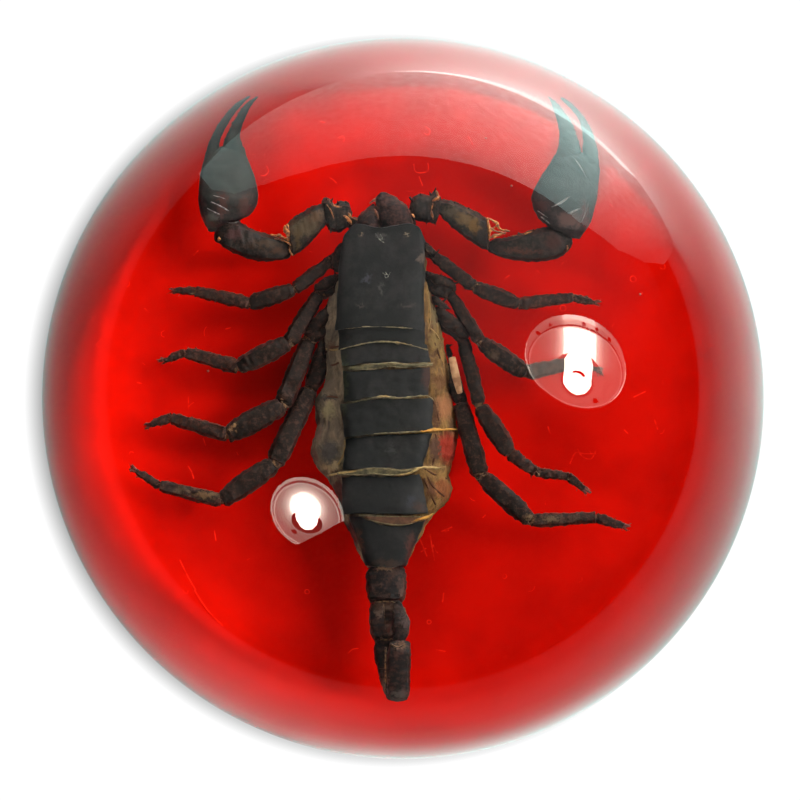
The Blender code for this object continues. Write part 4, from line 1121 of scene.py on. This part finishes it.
def toe(bm, rng, ankle, tip):
    """Two claws and a tuft of bristles at the end of a foot."""
    forward = (tip - ankle).normalized()
    aside = forward.cross(UP).normalized()
    heel = ankle.lerp(tip, HEEL_PART)
    for sign in (-1, 1):
        spread = aside * sign * CLAW_SPREAD
        bend = heel.lerp(tip, 0.5) + spread
        stations = ((*heel, 0.14, 0.14), (*bend, 0.1, 0.12), (*(tip + spread), 0.03, 0.05))
        limb(bm, stations, sides=6, steps=3, ends=(0.02, 0.02), mat=2)
    for _ in range(TOE_BRISTLES):
        way = forward + aside * rng.uniform(-0.5, 0.5) + Vector((0, 0, rng.uniform(-0.2, 0.3)))
        spike(bm, heel, way.normalized(), rng.uniform(0.5, 1.0) * CLAW_LENGTH, TUFT_WIDTH, mat=2)


rng = random.Random(11)
for side, legs in LEGS.items():
    for number, (corners, halves) in enumerate(legs, start=1):
        levels = list(LEG_LEVELS)
        if len(corners) > len(levels):
            levels.insert(4, SHIN_JOINT_LEVEL)
        joints = [Vector((x, y, level)) for (x, y), level in zip(corners, levels)]
        bm = bmesh.new()
        for start, end, half, kind in zip(joints, joints[1:], halves, SEGMENTS[len(halves)]):
            leg_segment(bm, rng, start, end, half, kind)
        for joint, before, after in zip(joints[1:-1], halves, halves[1:]):
            joint_skin(bm, rng, joint, min(before, after) * JOINT_SHARE)
        toe(bm, rng, *joints[-2:])
        finish_skin(bm, grain=0.5, depth=0.15)
        make_piece(f"leg_{side}_{number}", bm, (leg_shell, leg_joint, bristle, shin_shell), ["scorpion"],
                   sharp=50)

bm = bmesh.new()
for scraps in HIP_SCRAPS.values():
    for stations in scraps:
        limb(bm, stations, sides=16, steps=8, ends=(0.15, 0.15), flat=2.4)
        for x, y, level, half, _ in stations:
            turn = rng.uniform(0, 2 * math.pi)
            way = Vector((math.cos(turn), math.sin(turn), 0.3)).normalized()
            spike(bm, Vector((x, y, level)), way, half + SCRAP_SPIKE[0], SCRAP_SPIKE[1])
finish_skin(bm, grain=0.4, depth=0.16)
limb(bm, HIP_SLIVER, sides=12, steps=6, ends=(0.1, 0.1), flat=3.0, mat=1)
bmesh.ops.recalc_face_normals(bm, faces=bm.faces)
make_piece("hips", bm, (leg_shell, sliver_skin), ["scorpion"], sharp=50)


# --- Scorpion: tail -------------------------------------------------------------------
# Four keeled rings run back; the fifth and the sting bulb are folded forward over them, as
# the tail was pressed when the animal was set.

# Rings: level, half height, then sections as two edge points (x, y, x, y).
TAIL_RINGS = (
    (6.4, 1.55, (-3.15, -16.85, 0.0, -16.75), (-3.5, -17.5, 0.25, -17.4), (-3.55, -18.7, 0.28, -18.6),
     (-3.4, -19.7, 0.17, -19.7), (-3.2, -20.2, -0.07, -20.2)),
    (6.2, 1.45, (-3.1, -20.5, -0.2, -20.5), (-3.25, -21.2, -0.05, -21.2), (-3.25, -22.6, 0.0, -22.6),
     (-3.1, -23.6, -0.2, -23.6), (-2.8, -24.2, -0.4, -24.2)),
    (6.1, 1.2, (-2.75, -24.45, -0.6, -24.45), (-2.85, -25.2, -0.4, -25.2), (-2.75, -26.3, -0.4, -26.3),
     (-2.5, -27.5, -0.5, -27.5)),
    (6.1, 1.1, (-2.5, -27.6, -0.4, -27.6), (-2.35, -28.4, -0.3, -28.4), (-2.0, -29.8, -0.2, -29.8),
     (-1.6, -30.9, -0.1, -30.9)),
)
TAIL_FOLD = (
    (8.0, 1.15, (-1.3, -25.05, 0.7, -25.0), (-1.55, -26.2, 0.78, -26.0), (-1.6, -28.0, 0.72, -28.0),
     (-1.65, -29.8, 0.68, -29.8), (-1.6, -31.2, 0.62, -31.3), (-1.2, -31.85, 0.3, -31.85)),
    (8.15, 0.95, (-1.1, -25.0, 0.0, -25.0), (-0.95, -24.3, 0.42, -24.3), (-1.0, -23.4, 0.68, -23.0),
     (-0.98, -22.4, 0.5, -22.2), (-0.9, -21.6, 0.1, -21.4), (-0.75, -20.7, -0.25, -20.6)),
)
# Lips of rusty skin along the fold and between the rings: points (x, y), level, half width.
TAIL_LINES = (
    (((-1.72, -25.7), (-1.8, -27.5), (-1.74, -30.5)), 8.5, 0.1),
    (((-1.9, -20.8), (-1.8, -22.2), (-1.75, -23.4)), 7.7, 0.04),
    (((-2.6, -17.05), (-1.7, -17.3), (-0.9, -17.0)), 7.95, 0.1),
    (((-2.7, -20.6), (-1.7, -20.5), (-0.9, -20.6)), 7.7, 0.07),
    (((-1.2, -25.4), (-0.5, -25.75), (0.3, -25.4)), 9.1, 0.08),
    (((-2.2, -24.35), (-1.6, -24.6), (-1.1, -24.4)), 7.6, 0.09),
    (((0.15, -21.4), (0.35, -22.4), (0.3, -23.2)), 8.9, 0.05),
    (((-3.1, -21.4), (-3.15, -22.8), (-2.95, -23.8)), 6.9, 0.05),
)
TAIL_LINE_HEIGHT = 0.1
# Knuckles of joint skin between the rings: place and half width.
TAIL_KNUCKLES = (
    (-1.6, -16.9, 7.1, 1.0), (-1.65, -20.35, 6.9, 1.2), (-1.6, -24.3, 6.7, 0.9), (-0.4, -25.1, 8.3, 0.6),
)
KNUCKLE_LENGTH = 0.3
KNUCKLE_HEIGHT = 0.45
TAIL_STAINS = (
    (-1.8, -21.0, 1.0, 0.5, "#46342a"), (-1.7, -17.2, 0.8, 0.25, "#5e4836"),
    (0.0, -19.2, 0.3, 1.2, "#4a332b"), (-2.4, -21.7, 0.35, 0.35, "#5c4a40"),
    (-0.4, -25.6, 0.7, 0.3, "#5a4232"), (-2.0, -29.8, 0.4, 0.8, "#5c4236"),
    (-0.4, -31.5, 1.0, 0.5, "#453d37"), (0.3, -22.6, 0.35, 0.8, "#423430"),
    (-1.3, -23.4, 0.4, 0.8, "#4c352c"),
)
# Tail cuticle: keeled and granular, browner towards its sides and keels, partly as painted rim light.
tail_shell = shell_material("keeled_tail_cuticle", "#1a1716", "#3a2822", 0.55, 0.54, edge="#3a221c",
                            stains=TAIL_STAINS)
bm = bmesh.new()
for level, height, *rows in TAIL_RINGS + TAIL_FOLD:
    edged_limb(bm, rows, level, height, sides=28, steps=8, ends=(0.1, 0.1), flat=2.8,
               keels=(45, 81, 99, 135))
finish_skin(bm, grain=0.45, depth=0.13)
for points, level, width in TAIL_LINES:
    thread(bm, points, level, width, TAIL_LINE_HEIGHT, mat=1, sides=8, steps=5)
for *spot, half in TAIL_KNUCKLES:
    ball(bm, spot, (half, KNUCKLE_LENGTH, KNUCKLE_HEIGHT), mat=1)
bmesh.ops.recalc_face_normals(bm, faces=bm.faces)
make_piece("tail", bm, (tail_shell, leg_joint), ["scorpion"], sharp=50)


# --- Clear resin dome -----------------------------------------------------------------
# One casting of clear polyester resin, turned over out of a half-ball mould and polished.
# The two solids stop at the specimen's mid height; the real casting is one piece.

BOND_OVERLAP = 0.15
BOND_INSET = 0.12
# Clear polyester, cast against a polished mould: plain glass-like transmission, faintly green.
resin = new_material("clear_polyester_resin", Base_Color=(1, 1, 1, 1), Roughness=0.0,
                     Transmission_Weight=1.0, IOR=RESIN_IOR)
haze = node(resin, "VolumeAbsorption", {"Color": linear("#eef4ee"), "Density": 3.0})
resin.node_tree.links.new(haze.outputs[0], resin.node_tree.nodes["Material Output"].inputs["Volume"])
bm = flattened_ball()
cut_level(bm, RED_TOP - BOND_OVERLAP, above=True)
for vert in bm.verts:
    if vert.co.z < RED_TOP:
        vert.co.xy *= 1 - BOND_INSET / DOME_RADIUS
make_piece("clear_dome", bm, (resin,), ["clear_resin_lower", "clear_resin_upper"], sharp=60)


# --- Stage ----------------------------------------------------------------------------
# A sheet of white card under the block. The camera sees it white, with the block's soft
# contact shadow; mirrored in the resin it has the uneven brightness of a lit table.

TABLE_RADIUS = 3000.0
TABLE_GAP = 0.1
TABLE_MIRRORED = "#e4fffb"
# Brightness of the table by bearing from +X in degrees: all over, and close by the foot, where
# light that has come through the dome falls.
TABLE_BRIGHTNESS = (
    (-180, 0.26), (-165, 0.24), (-150, 0.3), (-135, 0.45), (-120, 0.62), (-105, 0.6), (-90, 0.42),
    (-75, 0.4), (-60, 0.55), (-45, 0.75), (-30, 0.9), (-15, 1.05), (0, 1.35), (15, 1.15), (30, 1.3),
    (45, 1.45), (60, 1.6), (90, 1.5), (105, 1.5), (120, 1.25), (135, 0.85), (150, 0.48), (165, 0.3),
    (180, 0.26),
)
TABLE_BRIGHTEST = 2.0
FOOT_BRIGHTNESS = (
    (-180, 0.2), (-150, 0.1), (-110, 0.1), (-95, 0.9), (-75, 1.1), (-60, 0.95), (-45, 0.4), (-30, 0.15),
    (0, 0.1), (30, 0.0), (150, 0.1), (165, 0.2), (180, 0.2),
)
# Share of that brightness by distance from the middle in mm.
TABLE_FADE = (
    (45, 0.72), (48, 0.95), (55, 0.88), (62, 0.76), (70, 0.65), (80, 0.52), (90, 0.4), (105, 0.27),
    (150, 0.18), (163, 0.13), (172, 0.0),
)
FOOT_FADE = ((46, 1.0), (49, 0.62), (51.5, 0.3), (55, 0.13), (62, 0.0))
FADE_END = 176.0
SOFTBOX_BEARING = 74.0
SOFTBOX_DISTANCE = 74.0
# The softbox's own light on the table: how bright it is at its foot, how far out it starts,
# where its middle lies along the foot, and how far it reaches to the sides.
SPILL_BRIGHTNESS = 6.9
SPILL_FROM = 40.0
SPILL_MIDDLE = -15.0
SPILL_CORE = 4.0
SPILL_REACH = 62.0
# The contact shadow that the camera sees: its centre, and its dark and bright ends by distance.
CONTACT_CENTRE = (-1.35, -0.1)
CONTACT_DARK = (43.1, 0.4)
CONTACT_BRIGHT = (45.7, 1.08)

# Matt white card, drawn as its own brightness, so that each ray finds the level it should.
card = bpy.data.materials.new("white_card")
card.use_nodes = True
card.node_tree.nodes.clear()
place = node(card, "TexCoord").outputs["Object"]
around = node(card, "TexGradient", {0: place}, gradient_type="RADIAL")
far = node(card, "VectorMath", {0: place}, operation="LENGTH").outputs["Value"]
far = node(card, "MapRange", {0: far, 1: 0.0, 2: FADE_END * MM})
levels = []
for by_bearing, by_distance in ((TABLE_BRIGHTNESS, TABLE_FADE), (FOOT_BRIGHTNESS, FOOT_FADE)):
    share = node(card, "ValToRGB", {0: around.outputs["Fac"]},
                 stops=[(0.5 + bearing / 360, level / TABLE_BRIGHTEST) for bearing, level in by_bearing])
    fade = node(card, "ValToRGB", {0: far.outputs[0]},
                stops=[(distance / FADE_END, level) for distance, level in by_distance])
    level = node(card, "Math", {0: share.outputs[0], 1: fade.outputs[0]}, operation="MULTIPLY")
    level = node(card, "Math", {0: level.outputs[0], 1: TABLE_BRIGHTEST}, operation="MULTIPLY")
    levels.append(level.outputs[0])
lit = node(card, "Math", {0: levels[0], 1: levels[1]}, operation="ADD")

turned = node(card, "Mapping", {"Vector": place, "Rotation": (0, 0, -math.radians(SOFTBOX_BEARING))})
turned = node(card, "SeparateXYZ", {0: turned.outputs[0]})
toward = node(card, "MapRange", {0: turned.outputs["X"], 1: SPILL_FROM * MM, 2: SOFTBOX_DISTANCE * MM})
toward = node(card, "Math", {0: toward.outputs[0], 1: 2.0}, operation="POWER")
offset = node(card, "Math", {0: turned.outputs["Y"], 1: -SPILL_MIDDLE * MM}, operation="ADD")
offset = node(card, "Math", {0: offset.outputs[0]}, operation="ABSOLUTE")
beside = node(card, "MapRange", {0: offset.outputs[0], 1: SPILL_CORE * MM, 2: SPILL_REACH * MM,
                                 3: SPILL_BRIGHTNESS, 4: 0.0})
spill = node(card, "Math", {0: toward.outputs[0], 1: beside.outputs[0]}, operation="MULTIPLY")
lit = node(card, "Math", {0: lit.outputs[0], 1: spill.outputs[0]}, operation="ADD")

nearer = node(card, "VectorMath", {0: place, 1: (CONTACT_CENTRE[0] * MM, CONTACT_CENTRE[1] * MM, 0)},
              operation="SUBTRACT")
nearer = node(card, "VectorMath", {0: nearer.outputs[0]}, operation="LENGTH").outputs["Value"]
contact = node(card, "MapRange", {0: nearer, 1: CONTACT_DARK[0] * MM, 2: CONTACT_BRIGHT[0] * MM,
                                  3: CONTACT_DARK[1], 4: CONTACT_BRIGHT[1]})
path = node(card, "LightPath")
bounced = node(card, "Math", {0: path.outputs["Is Glossy Ray"], 1: path.outputs["Diffuse Depth"]},
               operation="ADD", use_clamp=True)
strength = node(card, "Mix", {0: bounced.outputs[0], 2: contact.outputs[0], 3: lit.outputs[0]})
glow = node(card, "Mix", {0: bounced.outputs[0], 6: (1, 1, 1, 1), 7: linear(TABLE_MIRRORED)},
            data_type="RGBA")
glow = node(card, "Emission", {"Color": glow.outputs[2], "Strength": strength.outputs[0]})
node(card, "OutputMaterial", {"Surface": glow.outputs[0]})
bm = bmesh.new()
bmesh.ops.create_circle(bm, cap_ends=True, segments=96, radius=TABLE_RADIUS,
                        matrix=Matrix.Translation((0, 0, -TABLE_GAP)))
make_piece("white_card", bm, (card,), ())


# --- Softbox --------------------------------------------------------------------------
# The long low softbox that stands behind the block. Its cloth shows only as the pale shape
# mirrored across the top of the dome, with the bright slot under its foot; an area light of
# the same size gives its light.

# Its outline seen from the block: sideways and up.
SOFTBOX_OUTLINE = (
    (-118, 0), (-121, 24), (-108, 42), (-85, 48), (-60, 50), (-39, 48.6), (-16, 46.5), (10, 45), (42, 44.5),
    (62, 39), (74, 28), (79, 15), (75, 5), (70, 0),
)
# Brightness along it at its foot, by X in mm.
SOFTBOX_BRIGHTNESS = (
    (-120, 1.0), (-80, 1.1), (-54, 1.5), (-36, 2.1), (-21, 3.2), (0, 4.5), (28, 5.6), (38, 4.8), (46, 2.6),
    (60, 1.4), (72, 0.55),
)
SOFTBOX_BRIGHTEST = 6.0
SOFTBOX_SLOT = ((-24, 0), (43, 0), (38, 2.4), (15, 3.3), (-8, 1.7))
# Its ends and top, between which its brightness is laid out, and how much is left at the top.
SOFTBOX_ENDS = (-120.0, 80.0)
SOFTBOX_TOP = 50.0
SOFTBOX_TOP_SHARE = 0.34
SLOT_BRIGHTNESS = 9.0
SOFTBOX_SIZE = (180.0, 46.0)
SOFTBOX_POWER = 0.18
SOFTBOX_TINT = "#dcfffa"


def mirror_only(thing):
    """Keeps a stage piece out of sight but for mirror reflections."""
    thing.visible_camera = False
    thing.visible_diffuse = False
    thing.visible_transmission = False
    thing.visible_volume_scatter = False
    thing.visible_shadow = False


def emitter(name, level, tint="#ffffff"):
    """A glowing material of a level, dark for light that has already bounced off a dull surface,
    and the node that its level can be fed to."""
    mat = bpy.data.materials.new(name)
    mat.use_nodes = True
    mat.node_tree.nodes.clear()
    path = node(mat, "LightPath")
    first = node(mat, "Math", {0: 1.0, 1: path.outputs["Diffuse Depth"]}, operation="SUBTRACT",
                 use_clamp=True)
    strength = node(mat, "Math", {0: level, 1: first.outputs[0]}, operation="MULTIPLY")
    glow = node(mat, "Emission", {"Color": linear(tint), "Strength": strength.outputs[0]})
    node(mat, "OutputMaterial", {"Surface": glow.outputs[0]})
    return mat, strength


# White diffuser cloth, brightest by the tubes at its foot, with a faint weave.
softbox_glow, strength = emitter("softbox_cloth", 1.0, SOFTBOX_TINT)
place = node(softbox_glow, "TexCoord").outputs["Object"]
axes = node(softbox_glow, "SeparateXYZ", {0: place})
first, last = SOFTBOX_ENDS
along = node(softbox_glow, "MapRange", {0: axes.outputs["X"], 1: first * MM, 2: last * MM})
by_side = node(softbox_glow, "ValToRGB", {0: along.outputs[0]},
               stops=[((x - first) / (last - first), level / SOFTBOX_BRIGHTEST)
                      for x, level in SOFTBOX_BRIGHTNESS])
by_height = node(softbox_glow, "MapRange", {0: axes.outputs["Y"], 1: 0.0, 2: SOFTBOX_TOP * MM,
                                            3: SOFTBOX_BRIGHTEST, 4: SOFTBOX_TOP_SHARE * SOFTBOX_BRIGHTEST})
level = node(softbox_glow, "Math", {0: by_side.outputs[0], 1: by_height.outputs[0]}, operation="MULTIPLY")
weave = node(softbox_glow, "TexNoise", {"Vector": place, "Scale": 1 / (2.2 * MM), "Detail": 3.0})
weave = node(softbox_glow, "MapRange", {0: weave.outputs[0], 1: 0.3, 2: 0.7, 3: 0.84, 4: 1.12})
level = node(softbox_glow, "Math", {0: level.outputs[0], 1: weave.outputs[0]}, operation="MULTIPLY")
softbox_glow.node_tree.links.new(level.outputs[0], strength.inputs[0])
# The bare tube light that comes out under the cloth.
slot_glow, _ = emitter("softbox_slot", SLOT_BRIGHTNESS, SOFTBOX_TINT)

turn = math.radians(SOFTBOX_BEARING)
away = Vector((math.cos(turn), math.sin(turn), 0))
aside = Vector((math.sin(turn), -math.cos(turn), 0))
faced = Matrix((aside, Vector((0, 0, 1)), -away)).transposed().to_4x4()
bm = bmesh.new()
cloth = [bm.verts.new((x, y, 0)) for x, y in SOFTBOX_OUTLINE]
bmesh.ops.contextual_create(bm, geom=cloth)
slot = [bm.verts.new((x, y, 0.5)) for x, y in SOFTBOX_SLOT]
for face in bmesh.ops.contextual_create(bm, geom=slot)["faces"]:
    face.material_index = 1
softbox = make_piece("softbox", bm, (softbox_glow, slot_glow), ())
softbox.matrix_world = Matrix.Translation(away * SOFTBOX_DISTANCE * MM) @ faced
mirror_only(softbox)


def area_light(name, spot, way, shape, size, power):
    """An area light at a spot in mm, shining back along a way, unseen in mirror reflections."""
    light = bpy.data.lights.new(name, "AREA")
    light.shape = shape
    light.size = size[0] * MM
    light.size_y = size[1] * MM
    light.energy = power
    lamp = bpy.data.objects.new(name, light)
    lamp.location = spot * MM
    lamp.rotation_mode = "QUATERNION"
    lamp.rotation_quaternion = way.to_track_quat("Z", "Y")
    lamp.visible_camera = False
    lamp.visible_glossy = False
    bpy.context.scene.collection.objects.link(lamp)


spot = away * SOFTBOX_DISTANCE + Vector((0, 0, SOFTBOX_SIZE[1] / 2))
area_light("softbox_light", spot, away, "RECTANGLE", SOFTBOX_SIZE, SOFTBOX_POWER)


# --- Lamps ----------------------------------------------------------------------------
# Two bowl lamps with long bulbs. Area lights give their light; the bowls show only as the two
# round mirror images in the dome: rim, groove, ring of vents, bowl and bulb.


def direction(angle, bearing):
    """Unit vector at an angle from straight up and a bearing from +X, in degrees."""
    lean, turn = math.radians(angle), math.radians(bearing)
    return Vector((math.sin(lean) * math.cos(turn), math.sin(lean) * math.sin(turn), math.cos(lean)))


LAMP_TINT = "#fff5e6"
LAMP_CENTRE = Vector((0, 0, 15))
# Area lights: angle, bearing, distance, size and power.
LIGHTS = {
    "key_light": (67.0, 10.0, 400.0, 240.0, 2.25), "fill_light": (60.0, 245.0, 450.0, 200.0, 1.75),
}
for name, (angle, bearing, distance, size, power) in LIGHTS.items():
    way = direction(angle, bearing)
    area_light(name, LAMP_CENTRE + way * distance, way, "DISK", (size, size), power)

# Mirrored lamps: the mirror's spot on the dome, angle, bearing and distance; the hot glow round
# the bulb as its centre, its stretch sideways and endways, and where it fades in along the bowl;
# rounds as (x, y, half width, half height, brightness, share of the glow), each over the last;
# and a straight edge that hides a part, as a point and its outward direction.
BOWLS = {
    "key_bowl": ((20.3, 2.1, 34.8), 51.3, 10.6, 400.0, (6, 40), (1.0, 0.0), (-14, 8), (
        (3, 1, 125, 88, 9.0, 0.6), (3, 5.0, 123.5, 86.5, 2.4, 0.4), (3, -0.5, 119, 82, 2.0, 0.2),
        (3, -7.7, 117.3, 79.4, 0.3, 0.0), (3, -8.7, 115, 77, 3.4, 0.3), (3, -8.7, 111.5, 74, 1.75, 1.0),
        (5, -30, 64, 48, 2.0, 0.0), (5, -37, 40, 30, 0.7, 0.0), (5, -35, 34, 27, 40.0, 0.0),
        (5, -20, 34, 27, 40.0, 0.0), (5, -5, 34, 27, 40.0, 0.0), (6, -22, 15, 6, 0.0, 0.0),
        (3, -27, 14, 6, 40.0, 0.0), (16, 76, 5.0, 4.0, 0.0, 0.0), (47, 70.5, 5.0, 4.0, 0.0, 0.0),
        (79, 57.5, 5.0, 4.0, 0.0, 0.0), (-63, 62.5, 5.0, 4.0, 0.1, 0.0), (-92, 43.5, 5.0, 4.0, 0.1, 0.0),
        (55, -63, 7, 5, 0.0, 0.0),
    ), None),
    "fill_bowl": ((-11.1, -15.2, 35.5), 43.7, 230.6, 450.0, (-5, 4), (1.06, 1.06), (-90, -30), (
        (-1, -9, 86, 86, 6.5, 0.0), (-1.5, -11.5, 80.5, 80.5, 0.9, 0.0), (-2, -13.5, 77.5, 76.5, 7.5, 0.0),
        (-2, -14, 74, 73, 2.3, 1.0), (0, -30, 36, 27, 0.3, 0.0), (0, -14, 26, 35, 40.0, 0.0),
        (-28, -60, 6.5, 6, 0.2, 0.0),
    ), ((-17, -89, 0), (0.61, -0.79, 0))),
}
ROUND_STEP = 0.3
# How strong the glow is by part of its width.
GLOW_REACH = ((0.0, 1.0), (0.35, 1.0), (0.41, 0.4), (0.5, 0.19), (0.6, 0.08), (0.75, 0.03), (1.0, 0.0))
GLOW_WIDTH = 100.0
GLOW_BRIGHTNESS = 32.0

for name, (start, angle, bearing, distance, centre, stretch, ends, rounds, edge) in BOWLS.items():
    way = direction(angle, bearing)
    across = (Vector((1, 0, 0)) - way * way.x).normalized()
    faced = Matrix((across, way.cross(across), way)).transposed().to_4x4()
    bm = bmesh.new()
    mats = []
    for number, (x, y, half_width, half_height, brightness, glow_share) in enumerate(rounds):
        size = Matrix.Diagonal((half_width, half_height, 1, 1))
        made = bmesh.ops.create_circle(bm, cap_ends=True, segments=96, radius=1.0,
                                       matrix=Matrix.Translation((x, y, -ROUND_STEP * number)) @ size)
        paint(made, number)
        mat, strength = emitter(f"{name}_{number}", brightness, LAMP_TINT)
        mats.append(mat)
        if glow_share:
            place = node(mat, "TexCoord").outputs["Object"]
            off = node(mat, "VectorMath", {0: place, 1: (centre[0] * MM, centre[1] * MM, 0)},
                       operation="SUBTRACT")
            off = node(mat, "VectorMath", {0: off.outputs[0], 1: (*stretch, 0)}, operation="MULTIPLY")
            off = node(mat, "VectorMath", {0: off.outputs[0]}, operation="LENGTH").outputs["Value"]
            off = node(mat, "MapRange", {0: off, 1: 0.0, 2: GLOW_WIDTH * MM})
            hot = node(mat, "ValToRGB", {0: off.outputs[0]}, stops=GLOW_REACH)
            axes = node(mat, "SeparateXYZ", {0: place})
            upper = node(mat, "MapRange", {0: axes.outputs["Y"], 1: ends[0] * MM, 2: ends[1] * MM,
                                           4: GLOW_BRIGHTNESS * glow_share})
            level = node(mat, "Math", {0: hot.outputs[0], 1: upper.outputs[0]}, operation="MULTIPLY")
            level = node(mat, "Math", {0: level.outputs[0], 1: brightness}, operation="ADD")
            mat.node_tree.links.new(level.outputs[0], strength.inputs[0])
    if edge:
        everything = bm.verts[:] + bm.edges[:] + bm.faces[:]
        bmesh.ops.bisect_plane(bm, geom=everything, dist=1e-4, plane_co=edge[0], plane_no=edge[1],
                               clear_outer=True)
    bowl = make_piece(name, bm, mats, ())
    bowl.matrix_world = Matrix.Translation((Vector(start) + way * distance) * MM) @ faced
    mirror_only(bowl)


# --- Room -----------------------------------------------------------------------------
# Plain grey light on dull surfaces, white where the camera looks past the card, and in the
# resin's mirror all but dark, with a dim wall that veils the dome's upper right.

ROOM_LIGHT = 0.6
ROOM_SEEN = 0.95
ROOM_MIRRORED = 0.01
WALL_MIRRORED = 0.19
WALL_ANGLE = 52.0
WALL_BEARING = 62.0
# The cosine of the angle from the wall's middle at which it has faded out.
WALL_FADED = 0.55
room = bpy.data.worlds.new("dim_room")
room.use_nodes = True
ray = node(room, "TexCoord").outputs["Generated"]
toward = node(room, "VectorMath", {0: ray, 1: direction(WALL_ANGLE, WALL_BEARING)}, operation="DOT_PRODUCT")
wall = node(room, "MapRange", {0: toward.outputs["Value"], 1: WALL_FADED, 2: 1.0, 3: ROOM_MIRRORED,
                               4: WALL_MIRRORED}, interpolation_type="SMOOTHSTEP")
path = node(room, "LightPath")
level = node(room, "Mix", {0: path.outputs["Diffuse Depth"], 2: ROOM_SEEN, 3: ROOM_LIGHT})
level = node(room, "Mix", {0: path.outputs["Is Glossy Ray"], 2: level.outputs[0], 3: wall.outputs[0]})
background = room.node_tree.nodes["Background"]
background.inputs["Color"].default_value = (1, 1, 1, 1)
room.node_tree.links.new(level.outputs[0], background.inputs["Strength"])
bpy.context.scene.world = room
# Light through the resin keeps its focus, so the dome throws its bright crescent on the red.
bpy.context.scene.cycles.blur_glossy = 0.0


# --- Camera ---------------------------------------------------------------------------
# A long lens straight above, tipped a little towards the animal's tail, as the photo was taken.

CAMERA_DISTANCE = 600.0
CAMERA_TILT = 3.5
CAMERA_LENS = 218.5
CAMERA_AIM = (-0.37, -0.25, 0.0)

camera = bpy.data.objects.new("camera", bpy.data.cameras.new("camera"))
bpy.context.scene.collection.objects.link(camera)
camera.data.sensor_width = 36.0
camera.data.lens = CAMERA_LENS
tilt = math.radians(CAMERA_TILT)
back = Vector((0, -math.sin(tilt), math.cos(tilt)))
camera.location = (Vector(CAMERA_AIM) + back * CAMERA_DISTANCE) * MM
camera.rotation_mode = "QUATERNION"
camera.rotation_quaternion = back.to_track_quat("Z", "Y")
bpy.context.scene.camera = camera
bpy.context.scene.view_settings.view_transform = "Standard"
